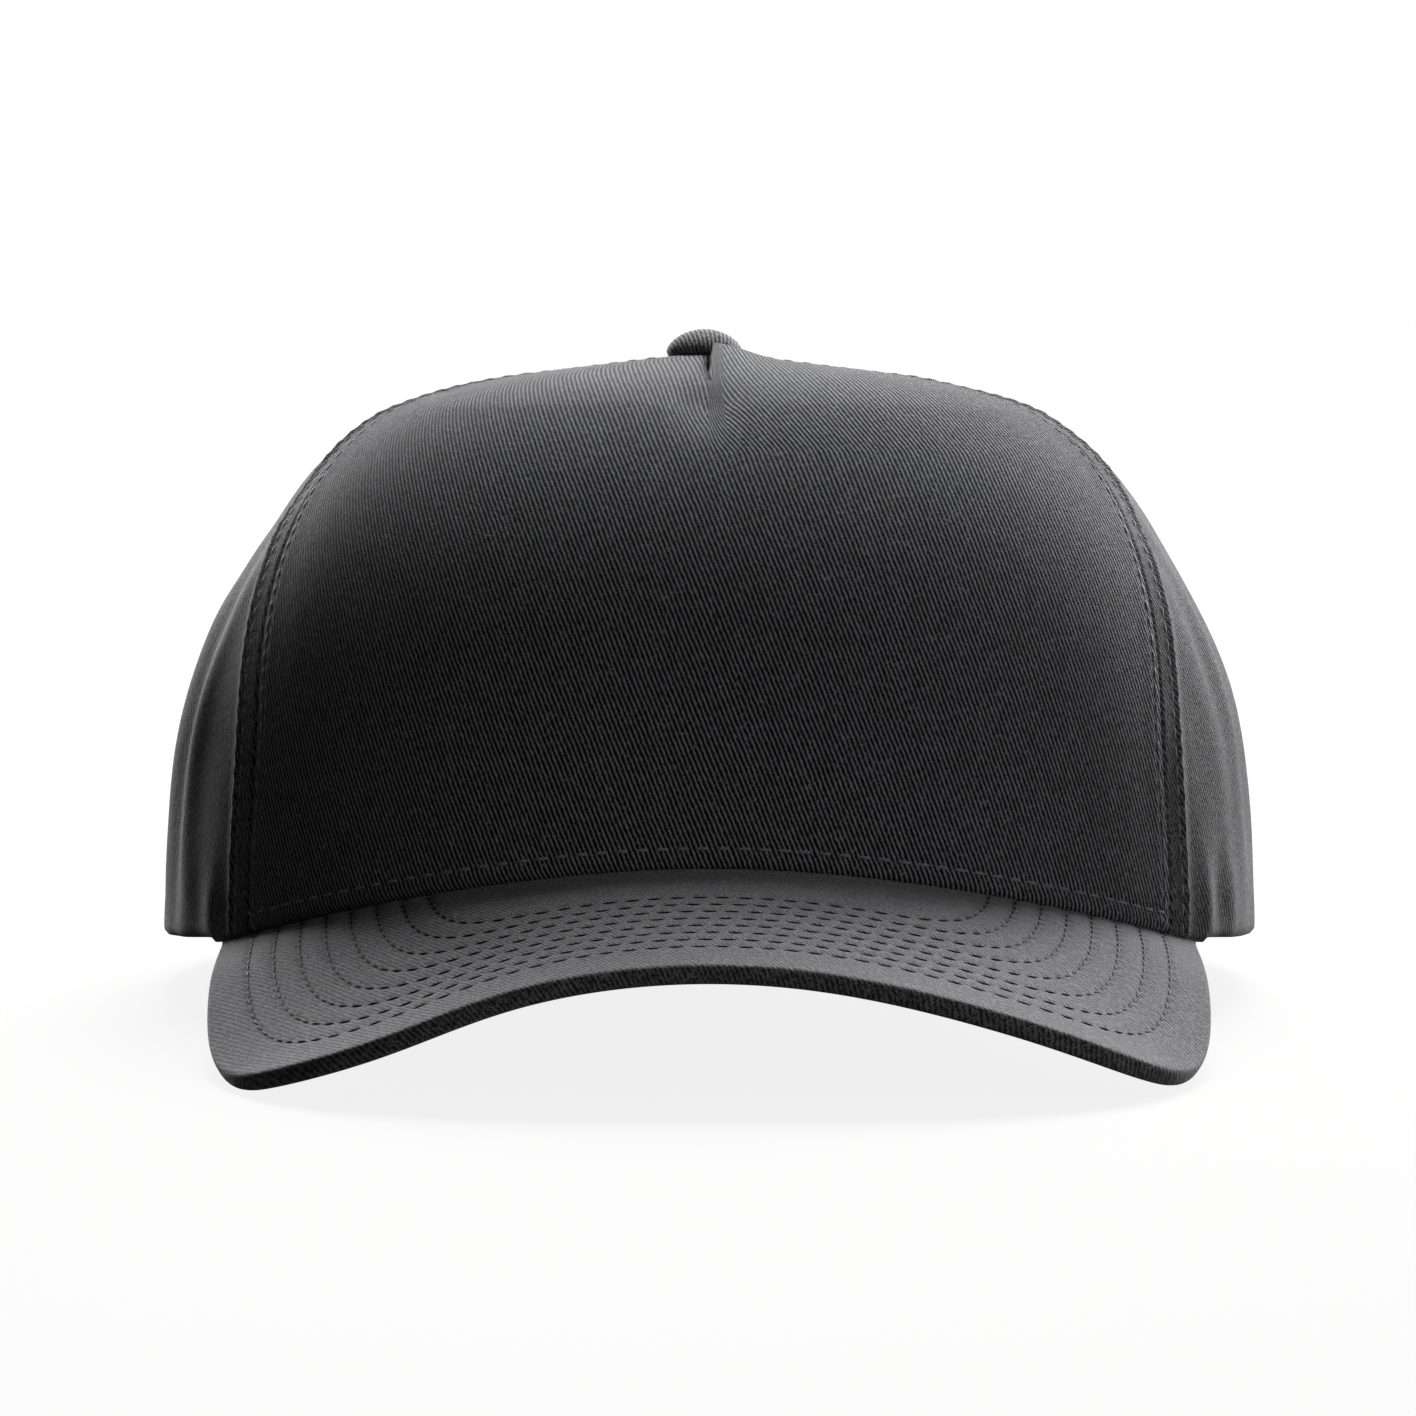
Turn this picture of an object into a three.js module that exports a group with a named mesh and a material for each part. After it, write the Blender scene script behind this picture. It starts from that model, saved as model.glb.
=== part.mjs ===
// A five-panel cap: a wide stiff front panel, two side panels, two back panels, a curved visor,
// a cloth-covered button, a sweatband, and a strap with a slide buckle in the back opening.
// Millimetres and degrees. While it is shaped, the cap's own frame has +X to the wearer's left,
// -Y forward and +Z up, with its origin in the middle of the rim. At the end it is tipped onto
// its visor corners and rear rim, as it rests on a table, with its origin under its middle.
import * as THREE from 'three';

// Driving dimensions of the crown, measured on its outer face
const crown = {
  halfWidth: 91,
  frontReach: 95,
  backReach: 95,
  height: 98.6,
  wall: 1.5,
  ringRadius: 3,
  frontPlanPower: 2.3,
  backPlanPower: 2.0,
};

// How full the crown's profile is: |reach|^reachPower + |height|^heightPower = 1
const fullness = {
  front: { reachPower: 2.8, heightPower: 2.35 },
  back: { reachPower: 2.35, heightPower: 2.1 },
};

// The cloth sinks a little between the button and the shoulder
const topSag = { depth: 2.2, endFraction: 0.6 };

// Where the seams run: azimuth from the front, against the lift angle above the rim
const frontSeam = [
  { lift: 0, azimuth: 52.1 },
  { lift: 15, azimuth: 53.2 },
  { lift: 26, azimuth: 57.3 },
  { lift: 37, azimuth: 62.6 },
  { lift: 50, azimuth: 70.2 },
  { lift: 60, azimuth: 74.2 },
  { lift: 70, azimuth: 78.0 },
  { lift: 90, azimuth: 88.0 },
];
const rearSeam = [
  { lift: 0, azimuth: 117 },
  { lift: 30, azimuth: 119 },
  { lift: 60, azimuth: 127 },
  { lift: 90, azimuth: 139 },
];

// Soft folds of the cloth: each swells out, or sinks in, around one azimuth and height
const softFolds = [
  { azimuth: -72, spread: 6, swell: 0.7, middleHeight: 32, reach: 24 },
  { azimuth: 70, spread: 6, swell: 0.8, middleHeight: 36, reach: 26 },
  { azimuth: -88, spread: 24, swell: 0.5, middleHeight: 86, reach: 9 },
  { azimuth: 88, spread: 26, swell: 1.5, middleHeight: 84, reach: 12 },
  { azimuth: -88, spread: 20, swell: -1.1, middleHeight: 67, reach: 11 },
  { azimuth: 88, spread: 20, swell: -0.8, middleHeight: 62, reach: 10 },
  { azimuth: -90, spread: 16, swell: 0.5, middleHeight: 42, reach: 12 },
  { azimuth: 90, spread: 16, swell: 0.5, middleHeight: 42, reach: 12 },
  { azimuth: -106, spread: 8, swell: -1.0, middleHeight: 30, reach: 32 },
  { azimuth: 107, spread: 8, swell: -0.9, middleHeight: 34, reach: 34 },
  { azimuth: -141, spread: 8, swell: 1.1, middleHeight: 46, reach: 30 },
  { azimuth: 143, spread: 8, swell: 0.9, middleHeight: 44, reach: 30 },
];

// The tuck where the front panel's top is lapped before the button: a crease whose right side
// stands high and falls away slowly, and a shallow dimple in front of it
const tuck = {
  creaseX: 0.3,
  creaseHalfWidth: 0.9,
  foldHeight: 2.3,
  foldEndX: 16,
  clearOfButton: 6.6,
  riseLength: 2.6,
  endRadius: 50,
};
const dimple = { x: -0.6, y: -55, halfWidth: 5, halfLength: 8, depth: 1.6 };

// The visor: its upper face falls forward and arches, more tightly towards its front edge
const visor = {
  seamHeight: 13.5,
  seamReach: 94.6,
  fall: 10.9,
  thickness: 3.1,
  tipAzimuth: 58,
  outlineHalfWidth: 78.9,
  outlineStart: 52,
  frontReach: 161.7,
  frontRoundness: 4.6,
  sideStraightness: 4.7,
  tipEaseOut: 16,
  archAtSeam: 0.006,
  archAtTip: 0.0065,
  archAtFront: 0.0083,
  archEaseStart: 85,
  archEaseLength: 60,
  tipEaseLength: 35,
  tuckUnderCrown: 1.4,
};

// The visor isn't bent quite evenly: one shoulder stands a little high, and the other sinks
const highShoulder = { x: 58, spread: 18, rise: 0.7 };
const lowShoulder = { x: -50, spread: 16, sink: 1.5 };
// The rim stands a little higher at the sides than at the back
const sideRim = { rise: 1.5, fallStart: 15, fallEnd: 65 };

// The arched opening at the back, and the strap across it
const opening = { halfWidth: 42, height: 46 };
const strap = { bottom: 4.6, height: 19, thickness: 1.4, endAzimuth: 142 };
const buckle = { height: 23, width: 12, bar: 1.2, slotPlay: 1.6, azimuth: -172 };

const sweatband = { height: 30, thickness: 1, endAzimuth: 141.6, hem: 0.8 };
const button = {
  radius: 6.35,
  height: 4.8,
  skirtDrop: 0.5,
  shankRadius: 1.6,
  washerRadius: 6,
  washerThickness: 1,
};

// Play between sewn pieces, and how far soft edges are pressed flat by the table
const seamPlay = 0.3;
const liningPlay = 0.75;
const pressed = { visorCorners: 0.15, rearRim: 0.7 };

// How finely each piece is divided
const divisions = {
  frontColumns: 28,
  sideColumns: 11,
  backColumns: 13,
  crownRows: 20,
  crownRowPower: 2,
  visorColumns: 42,
  visorRows: 8,
  bandColumns: 44,
  strapColumns: 18,
  roundSides: 24,
};

const charcoalTwill = { color: 0x2b2b2c, roughness: 0.95, metalness: 0 };
const charcoalTape = { color: 0x232324, roughness: 0.9, metalness: 0 };
const darkMetal = { color: 0x4a4b4d, roughness: 0.35, metalness: 0.9 };

const radians = THREE.MathUtils.degToRad;
const smoothstep = (value, start, end) => THREE.MathUtils.smoothstep(value, start, end);

// A smooth curve through the rows of a table, by cubic pieces whose slopes come from their neighbours
function tableValue(rows, lift) {
  const inside = THREE.MathUtils.clamp(lift, rows[0].lift, rows[rows.length - 1].lift);
  let index = 0;
  while (index < rows.length - 2 && rows[index + 1].lift < inside) {
    index += 1;
  }
  const slopeAt = (row) => {
    const before = rows[Math.max(row - 1, 0)];
    const after = rows[Math.min(row + 1, rows.length - 1)];
    return (after.azimuth - before.azimuth) / (after.lift - before.lift);
  };
  const start = rows[index];
  const end = rows[index + 1];
  const span = end.lift - start.lift;
  const t = (inside - start.lift) / span;
  const startShare = 2 * t ** 3 - 3 * t ** 2 + 1;
  const startSlopeShare = t ** 3 - 2 * t ** 2 + t;
  const endSlopeShare = t ** 3 - t ** 2;
  return startShare * start.azimuth + (1 - startShare) * end.azimuth
    + span * (startSlopeShare * slopeAt(index) + endSlopeShare * slopeAt(index + 1));
}

const signedPower = (value, power) => Math.sign(value) * Math.abs(value) ** power;

// Profile powers at an azimuth: the same from front to side, rounder towards the back
function powersAt(azimuth) {
  const backShare = Math.min(Math.cos(radians(azimuth)), 0) ** 2;
  const mix = THREE.MathUtils.lerp;
  return {
    reach: 2 / mix(fullness.front.reachPower, fullness.back.reachPower, backShare),
    height: 2 / mix(fullness.front.heightPower, fullness.back.heightPower, backShare),
  };
}

// How far the soft folds push the cloth outwards at one place
function foldSwell(azimuth, height) {
  return softFolds.reduce((sum, fold) => {
    const turn = (azimuth - fold.azimuth) / fold.spread;
    const rise = (height - fold.middleHeight) / fold.reach;
    return sum + fold.swell * Math.exp(-turn * turn - rise * rise);
  }, 0);
}

// How far the tuck before the button lifts the cloth
function tuckLift(x, y) {
  const radius = Math.hypot(x, y);
  const ahead = smoothstep(-y, 0, tuck.clearOfButton);
  const start = ahead * smoothstep(radius, tuck.clearOfButton, tuck.clearOfButton + tuck.riseLength);
  const fade = (1 - smoothstep(radius, tuck.clearOfButton, tuck.endRadius)) ** 2;
  const edge = smoothstep(x, tuck.creaseX - tuck.creaseHalfWidth, tuck.creaseX + tuck.creaseHalfWidth);
  const lap = edge * (1 - smoothstep(x, tuck.creaseX, tuck.foldEndX)) ** 2;
  return start * fade * tuck.foldHeight * lap;
}

// How far the dimple in front of the tuck sinks the cloth
function dimpleSink(x, y) {
  const across = (x - dimple.x) / dimple.halfWidth;
  const along = (y - dimple.y) / dimple.halfLength;
  return dimple.depth * Math.exp(-across * across - along * along);
}

// A point of the crown's outer face, at an azimuth from the front and a lift angle above the rim
function crownPoint(azimuth, lift) {
  const powers = powersAt(azimuth);
  const sine = Math.sin(radians(azimuth));
  const cosine = Math.cos(radians(azimuth));
  const planPower = 2 / (cosine > 0 ? crown.frontPlanPower : crown.backPlanPower);
  const forward = cosine > 0 ? crown.frontReach : crown.backReach;
  const share = Math.cos(radians(lift)) ** powers.reach;
  const height = crown.height * Math.sin(radians(lift)) ** powers.height;
  const sag = topSag.depth * Math.sin(Math.PI * Math.min(share / topSag.endFraction, 1));
  const outward = foldSwell(azimuth, height);
  const x = crown.halfWidth * share * signedPower(sine, planPower) + outward * sine;
  const y = -forward * share * signedPower(cosine, planPower) - outward * cosine;
  return new THREE.Vector3(x, y, height - sag + tuckLift(x, y) - dimpleSink(x, y));
}

// The lift angle at which the crown's face reaches a height
function liftAt(azimuth, height) {
  const share = Math.max(height, 0) / crown.height;
  return THREE.MathUtils.radToDeg(Math.asin(share ** (1 / powersAt(azimuth).height)));
}

// The outward direction of the crown's face
function crownNormal(azimuth, lift) {
  const step = 0.2;
  const across = crownPoint(azimuth + step, lift).sub(crownPoint(azimuth - step, lift));
  const above = crownPoint(azimuth, Math.min(lift + step, 90 - 1e-4));
  const up = above.sub(crownPoint(azimuth, Math.max(lift - step, 0)));
  return across.cross(up).normalize();
}

// A point inside the crown's face by a depth through the wall
function insideCrown(azimuth, lift, depth) {
  return crownPoint(azimuth, lift).addScaledVector(crownNormal(azimuth, lift), -depth);
}

// Height of the visor's upper face: a forward fall less an arch across the width
function visorHeight(x, y) {
  const reach = -y;
  const tighten = smoothstep(reach, visor.archEaseStart, visor.archEaseStart + visor.archEaseLength);
  const slacken = 1 - smoothstep(reach, visor.archEaseStart - visor.tipEaseLength, visor.archEaseStart);
  const arch = visor.archAtSeam + (visor.archAtFront - visor.archAtSeam) * tighten
    + (visor.archAtTip - visor.archAtSeam) * slacken;
  const rise = highShoulder.rise * Math.exp(-(((x - highShoulder.x) / highShoulder.spread) ** 2));
  const sink = lowShoulder.sink * Math.exp(-(((x - lowShoulder.x) / lowShoulder.spread) ** 2));
  const fall = (visor.seamReach - reach) * Math.tan(radians(visor.fall));
  return visor.seamHeight + fall - arch * x * x / 2 + tighten * (rise - sink);
}

// Height of the crown's lower edge: on the visor at the front, over the opening at the back
function rimHeight(x, y) {
  if (y < -visor.outlineStart) {
    return Math.max(0, visorHeight(x, y) + seamPlay);
  }
  if (y < 0) {
    const tipHeight = visorHeight(visor.outlineHalfWidth, -visor.outlineStart) + seamPlay;
    const nearTip = smoothstep(-y, visor.outlineStart - visor.tipEaseOut, visor.outlineStart);
    return sideRim.rise + (tipHeight - sideRim.rise) * nearTip;
  }
  const across = Math.abs(x) / opening.halfWidth;
  const beside = sideRim.rise * (1 - smoothstep(y, sideRim.fallStart, sideRim.fallEnd));
  return across < 1 ? opening.height * Math.sqrt(1 - across * across) : beside;
}

// A closed wall between two grids of points, given as rows of outer and of inner points
function wallGeometry(outer, inner) {
  const rows = outer.length;
  const columns = outer[0].length;
  const positions = [...outer.flat(), ...inner.flat()].flatMap((point) => point.toArray());
  const outerIndex = (row, column) => row * columns + column;
  const innerIndex = (row, column) => rows * columns + row * columns + column;
  const faces = [];
  const addQuad = (a, b, c, d) => faces.push(a, b, c, a, c, d);
  for (let row = 0; row < rows - 1; row += 1) {
    for (let column = 0; column < columns - 1; column += 1) {
      addQuad(outerIndex(row, column), outerIndex(row, column + 1),
        outerIndex(row + 1, column + 1), outerIndex(row + 1, column));
      addQuad(innerIndex(row, column), innerIndex(row + 1, column),
        innerIndex(row + 1, column + 1), innerIndex(row, column + 1));
    }
  }
  const edge = [];
  for (let column = 0; column < columns - 1; column += 1) {
    edge.push([0, column]);
  }
  for (let row = 0; row < rows - 1; row += 1) {
    edge.push([row, columns - 1]);
  }
  for (let column = columns - 1; column > 0; column -= 1) {
    edge.push([rows - 1, column]);
  }
  for (let row = rows - 1; row > 0; row -= 1) {
    edge.push([row, 0]);
  }
  edge.forEach((place, index) => {
    const next = edge[(index + 1) % edge.length];
    addQuad(outerIndex(...place), innerIndex(...place), innerIndex(...next), outerIndex(...next));
  });
  const geometry = new THREE.BufferGeometry();
  geometry.setAttribute('position', new THREE.Float32BufferAttribute(positions, 3));
  geometry.setIndex(faces);
  return geometry;
}

// One panel of the crown between two seams. startSeam and endSeam give azimuth against lift,
// spread gives each column's place between them at the lower edge.
function panelGeometry(startSeam, endSeam, columns, spread) {
  const ringShare = crown.ringRadius / crown.halfWidth;
  const outer = [];
  const inner = [];
  const gapTurn = (azimuth, lift) => {
    const step = 0.5;
    const arc = crownPoint(azimuth + step, lift).distanceTo(crownPoint(azimuth - step, lift));
    return (seamPlay * 0.7) * (2 * step) / arc;
  };
  const azimuthAt = (place, lift) => {
    const start = startSeam(lift) + gapTurn(startSeam(lift), lift);
    const end = endSeam(lift) - gapTurn(endSeam(lift), lift);
    return THREE.MathUtils.lerp(start, end, place);
  };
  const lowerLifts = spread.map((place) => {
    let lift = 0;
    for (let pass = 0; pass < 8; pass += 1) {
      const azimuth = azimuthAt(place, lift);
      const point = crownPoint(azimuth, lift);
      lift = liftAt(azimuth, rimHeight(point.x, point.y));
    }
    return lift;
  });
  for (let row = 0; row <= divisions.crownRows; row += 1) {
    const rise = 1 - (1 - row / divisions.crownRows) ** divisions.crownRowPower;
    outer.push([]);
    inner.push([]);
    for (let column = 0; column <= columns; column += 1) {
      const place = THREE.MathUtils.lerp(spread[column], column / columns, rise);
      const roughAzimuth = azimuthAt(place, lowerLifts[column]);
      const topLift = THREE.MathUtils.radToDeg(Math.acos(ringShare ** (1 / powersAt(roughAzimuth).reach)));
      const lift = THREE.MathUtils.lerp(lowerLifts[column], topLift, rise);
      const azimuth = azimuthAt(place, lift);
      const outerPoint = crownPoint(azimuth, lift);
      const innerPoint = insideCrown(azimuth, lift, crown.wall);
      if (row === 0 && outerPoint.y < 0) {
        innerPoint.z = rimHeight(innerPoint.x, innerPoint.y);
      }
      outer[row].push(outerPoint);
      inner[row].push(innerPoint);
    }
  }
  return wallGeometry(outer, inner);
}

const evenSpread = (columns) => Array.from({ length: columns + 1 }, (_, index) => index / columns);

// Columns of a back panel, from its side seam: even up to the opening's foot, then closer round the arch
function archSpread(columns) {
  const footAzimuth = 180 - THREE.MathUtils.radToDeg(Math.asin(opening.halfWidth / crown.halfWidth));
  const seamAzimuth = rearSeam[0].azimuth;
  const outsideColumns = 5;
  return evenSpread(columns).map((_, index) => {
    if (index <= outsideColumns) {
      return (index / outsideColumns) * (footAzimuth - seamAzimuth) / (180 - seamAzimuth);
    }
    const turn = (index - outsideColumns) / (columns - outsideColumns);
    const x = opening.halfWidth * Math.cos(turn * Math.PI / 2);
    const azimuth = 180 - THREE.MathUtils.radToDeg(Math.asin(x / crown.halfWidth));
    return (azimuth - seamAzimuth) / (180 - seamAzimuth);
  });
}

// A band that follows the crown inside its wall, between two azimuths
function bandGeometry(startAzimuth, endAzimuth, columns, depth, thickness, lowerHeight, upperHeight) {
  const grid = (inset) => [0, 0.5, 1].map((rise) => evenSpread(columns).map((place) => {
    const azimuth = THREE.MathUtils.lerp(startAzimuth, endAzimuth, place);
    const foot = crownPoint(azimuth, 0);
    const height = THREE.MathUtils.lerp(lowerHeight(foot), upperHeight(foot), rise);
    return insideCrown(azimuth, liftAt(azimuth, height), inset);
  }));
  return wallGeometry(grid(depth), grid(depth + thickness));
}

// The visor's edges in plan, from tip to tip
class VisorOutline extends THREE.Curve {
  getPoint(t) {
    const turn = (t - 0.5) * Math.PI;
    const x = visor.outlineHalfWidth * signedPower(Math.sin(turn), 2 / visor.frontRoundness);
    const reachShare = Math.max(Math.cos(turn), 0) ** (2 / visor.sideStraightness);
    return new THREE.Vector3(x, -THREE.MathUtils.lerp(visor.outlineStart, visor.frontReach, reachShare), 0);
  }
}

class VisorSeam extends THREE.Curve {
  getPoint(t) {
    const azimuth = THREE.MathUtils.lerp(-visor.tipAzimuth, visor.tipAzimuth, t);
    const foot = crownPoint(azimuth, 0);
    const lift = liftAt(azimuth, visorHeight(foot.x, foot.y));
    return insideCrown(azimuth, lift, visor.tuckUnderCrown).setZ(0);
  }
}

function visorNormal(x, y) {
  const step = 0.5;
  const slopeX = (visorHeight(x + step, y) - visorHeight(x - step, y)) / (2 * step);
  const slopeY = (visorHeight(x, y + step) - visorHeight(x, y - step)) / (2 * step);
  return new THREE.Vector3(-slopeX, -slopeY, 1).normalize();
}

// Straight lines from the seam out to the front edge, laid on the visor's face
function visorGeometry() {
  const finelySpaced = (curve) => {
    curve.arcLengthDivisions = 2000;
    return curve.getSpacedPoints(divisions.visorColumns);
  };
  const seamPoints = finelySpaced(new VisorSeam());
  const edgePoints = finelySpaced(new VisorOutline());
  const upper = [];
  const lower = [];
  for (let row = 0; row <= divisions.visorRows; row += 1) {
    const planRow = seamPoints.map((seam, column) =>
      seam.clone().lerp(edgePoints[column], row / divisions.visorRows));
    upper.push(planRow.map((point) => point.clone().setZ(visorHeight(point.x, point.y))));
    lower.push(upper[row].map((point) =>
      point.clone().addScaledVector(visorNormal(point.x, point.y), -visor.thickness)));
  }
  return wallGeometry(upper, lower);
}

// The covered button: a low dome cupped over the crown's point, its shank through the ring
// where the panels meet, and a washer inside
function buttonGeometry() {
  const skirt = crown.height - button.skirtDrop;
  const underside = crown.height + seamPlay;
  const washerTop = crown.height - crown.wall - seamPlay - topSag.depth / 2;
  const washerBottom = washerTop - button.washerThickness;
  const dome = new THREE.SplineCurve([
    new THREE.Vector2(0, skirt + button.height),
    new THREE.Vector2(button.radius * 0.62, skirt + button.height * 0.86),
    new THREE.Vector2(button.radius, skirt + button.height * 0.36),
    new THREE.Vector2(button.radius * 0.94, skirt),
  ]).getPoints(9);
  const profile = [
    ...dome,
    new THREE.Vector2(button.shankRadius, underside),
    new THREE.Vector2(button.shankRadius, washerTop),
    new THREE.Vector2(button.washerRadius, washerTop),
    new THREE.Vector2(button.washerRadius, washerBottom),
    new THREE.Vector2(0, washerBottom),
  ];
  return new THREE.LatheGeometry(profile, divisions.roundSides).rotateX(Math.PI / 2);
}

// The slide buckle: a flat frame round the strap, one plain piece
function buckleGeometry() {
  const slotHeight = strap.height + strap.thickness;
  const slotDepth = strap.thickness + buckle.slotPlay;
  const depth = slotDepth + 2 * buckle.bar;
  const rectangle = (path, height, thickness) => {
    path.moveTo(-height / 2, -thickness / 2);
    path.lineTo(height / 2, -thickness / 2);
    path.lineTo(height / 2, thickness / 2);
    path.lineTo(-height / 2, thickness / 2);
    path.closePath();
    return path;
  };
  const section = rectangle(new THREE.Shape(), buckle.height, depth);
  section.holes.push(rectangle(new THREE.Path(), slotHeight, slotDepth));
  const geometry = new THREE.ExtrudeGeometry(section, { depth: buckle.width, bevelEnabled: false });
  geometry.translate(0, 0, -buckle.width / 2);
  const lift = liftAt(buckle.azimuth, strap.bottom + strap.height / 2);
  const middle = insideCrown(buckle.azimuth, lift, crown.wall + liningPlay + strap.thickness / 2);
  const outward = crownNormal(buckle.azimuth, lift);
  const along = new THREE.Vector3(0, 0, 1).cross(outward).normalize();
  const upward = outward.clone().cross(along);
  const turn = new THREE.Matrix4().makeBasis(upward, outward, upward.clone().cross(outward));
  return geometry.applyMatrix4(turn.setPosition(middle));
}

// How the cap is tipped: its visor corners and the feet of the rear opening come down on the table
function restingPlacement() {
  const footAzimuth = 180 - THREE.MathUtils.radToDeg(Math.asin(opening.halfWidth / crown.halfWidth));
  const rearFoot = crownPoint(footAzimuth, 0).add(new THREE.Vector3(0, 0, pressed.rearRim));
  const outline = new VisorOutline().getPoints(400);
  const undersides = outline.map((point) => point.setZ(visorHeight(point.x, point.y))
    .addScaledVector(visorNormal(point.x, point.y), -visor.thickness)
    .add(new THREE.Vector3(0, 0, pressed.visorCorners)));
  const slopes = undersides.map((point) => (rearFoot.z - point.z) / (rearFoot.y - point.y));
  const tilt = Math.atan(Math.max(...slopes));
  const turned = new THREE.Matrix4().makeRotationX(-tilt);
  return turned.setPosition(0, 0, -rearFoot.clone().applyMatrix4(turned).z);
}

const placement = restingPlacement();

// Stand a finished piece in its resting place, with the cloth that meets the table pressed flat
function settle(geometry) {
  geometry.applyMatrix4(placement);
  const position = geometry.getAttribute('position');
  for (let index = 0; index < position.count; index += 1) {
    position.setZ(index, Math.max(position.getZ(index), 0));
  }
  geometry.computeVertexNormals();
  return geometry;
}

// Signed volume of a closed mesh, to tell whether its faces point outwards
function signedVolume(geometry) {
  const position = geometry.getAttribute('position');
  const corner = (index) => new THREE.Vector3().fromBufferAttribute(position, index);
  let volume = 0;
  for (let face = 0; face < geometry.index.count; face += 3) {
    const [a, b, c] = [0, 1, 2].map((offset) => corner(geometry.index.getX(face + offset)));
    volume += a.dot(b.cross(c)) / 6;
  }
  return volume;
}

function turnFacesOut(geometry) {
  if (geometry.index && signedVolume(geometry) < 0) {
    geometry.setIndex([...geometry.index.array].reverse());
  }
  return geometry;
}

const cap = new THREE.Group();

function addPiece(name, geometry, finish) {
  const mesh = new THREE.Mesh(settle(turnFacesOut(geometry)), new THREE.MeshStandardMaterial(finish));
  mesh.name = name;
  cap.add(mesh);
}

const seamOf = (rows, side) => (lift) => side * tableValue(rows, lift);
const rightFront = seamOf(frontSeam, 1);
const leftFront = seamOf(frontSeam, -1);
const rightRear = seamOf(rearSeam, 1);
const leftRear = seamOf(rearSeam, -1);
const mirrored = (spread) => spread.map((place) => 1 - place).reverse();

addPiece('front_panel', panelGeometry(leftFront, rightFront, divisions.frontColumns,
  evenSpread(divisions.frontColumns)), charcoalTwill);
addPiece('side_panel_left', panelGeometry(leftRear, leftFront, divisions.sideColumns,
  evenSpread(divisions.sideColumns)), charcoalTwill);
addPiece('side_panel_right', panelGeometry(rightFront, rightRear, divisions.sideColumns,
  evenSpread(divisions.sideColumns)), charcoalTwill);
addPiece('back_panel_left', panelGeometry(() => -180, leftRear, divisions.backColumns,
  mirrored(archSpread(divisions.backColumns))), charcoalTwill);
addPiece('back_panel_right', panelGeometry(rightRear, () => 180, divisions.backColumns,
  archSpread(divisions.backColumns)), charcoalTwill);
addPiece('visor', visorGeometry(), charcoalTwill);
addPiece('top_button', buttonGeometry(), charcoalTwill);

addPiece('sweatband', bandGeometry(-sweatband.endAzimuth, sweatband.endAzimuth, divisions.bandColumns,
  crown.wall + liningPlay, sweatband.thickness,
  (foot) => Math.max(rimHeight(foot.x, foot.y), 0) + sweatband.hem,
  (foot) => Math.max(rimHeight(foot.x, foot.y), 0) + sweatband.height), charcoalTape);

addPiece('back_strap', bandGeometry(strap.endAzimuth, 360 - strap.endAzimuth, divisions.strapColumns,
  crown.wall + liningPlay, strap.thickness,
  () => strap.bottom, () => strap.bottom + strap.height), charcoalTwill);
addPiece('strap_buckle', buckleGeometry(), darkMetal);

// Bring the middle of the cap's box over the origin
const middle = new THREE.Box3().setFromObject(cap).getCenter(new THREE.Vector3());
cap.position.set(-middle.x, -middle.y, 0);

export default cap;
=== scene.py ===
import bpy
import numpy as np
from mathutils import Matrix


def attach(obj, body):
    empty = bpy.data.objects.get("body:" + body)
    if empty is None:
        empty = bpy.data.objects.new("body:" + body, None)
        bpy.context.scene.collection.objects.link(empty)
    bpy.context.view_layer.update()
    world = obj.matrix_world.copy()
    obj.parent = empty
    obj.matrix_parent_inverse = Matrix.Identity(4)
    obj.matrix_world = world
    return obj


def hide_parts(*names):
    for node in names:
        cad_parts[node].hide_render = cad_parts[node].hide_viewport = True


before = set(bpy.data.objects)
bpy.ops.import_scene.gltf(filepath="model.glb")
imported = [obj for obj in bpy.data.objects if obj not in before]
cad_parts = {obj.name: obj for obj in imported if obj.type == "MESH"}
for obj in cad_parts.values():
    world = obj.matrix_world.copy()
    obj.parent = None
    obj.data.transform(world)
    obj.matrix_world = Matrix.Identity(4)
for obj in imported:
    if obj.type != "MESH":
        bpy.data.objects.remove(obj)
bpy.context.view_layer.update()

# Front panel
# One wide piece of cotton twill over the forehead, backed with stiff buckram so that it stands up.
# It is sewn to both side panels and its lower edge is turned under onto the visor. At the top it is
# drawn into a small tuck before the button. Sizes are in mm and angles in degrees, in the cap's own
# frame: +X to the wearer's left, -Y forward, +Z up, the origin in the middle of the rim.
crown_half_width = 91.0
crown_reach = 95.0
crown_height = 98.6
crown_wall = 1.5
ring_radius = 3.0
front_plan_power = 2.3
back_plan_power = 2.0
front_reach_power = 2.8
back_reach_power = 2.35
front_height_power = 2.35
back_height_power = 2.1
top_sag_depth = 2.2
top_sag_end = 0.6
# Each row: lift above the rim, azimuth from the front
front_seam = (
    (0, 52.1), (15, 53.2), (26, 57.3), (37, 62.6), (50, 70.2), (60, 74.2), (70, 78.0), (90, 88.0)
)
# Each row: azimuth, spread, swell outwards, middle height, reach up and down
soft_folds = (
    (-72, 6, 0.7, 32, 24),
    (70, 6, 0.8, 36, 26),
    (-88, 24, 0.5, 86, 9),
    (88, 26, 1.5, 84, 12),
    (-88, 20, -1.1, 67, 11),
    (88, 20, -0.8, 62, 10),
    (-90, 16, 0.5, 42, 12),
    (90, 16, 0.5, 42, 12),
    (-106, 8, -1.0, 30, 32),
    (107, 8, -0.9, 34, 34),
    (-141, 8, 1.1, 46, 30),
    (143, 8, 0.9, 44, 30),
)
tuck_crease_x = 0.3
tuck_crease_half_width = 0.5
tuck_groove_depth = 2.6
tuck_fold_height = 2.3
tuck_fold_end_x = 16.0
tuck_start = 6.6
tuck_rise = 2.6
tuck_fade_start = 10.0
tuck_end = 48.0
groove_fade_start = 34.0
groove_end = 46.0
dimple_x = -0.6
dimple_y = -55.0
dimple_half_width = 5.0
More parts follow.
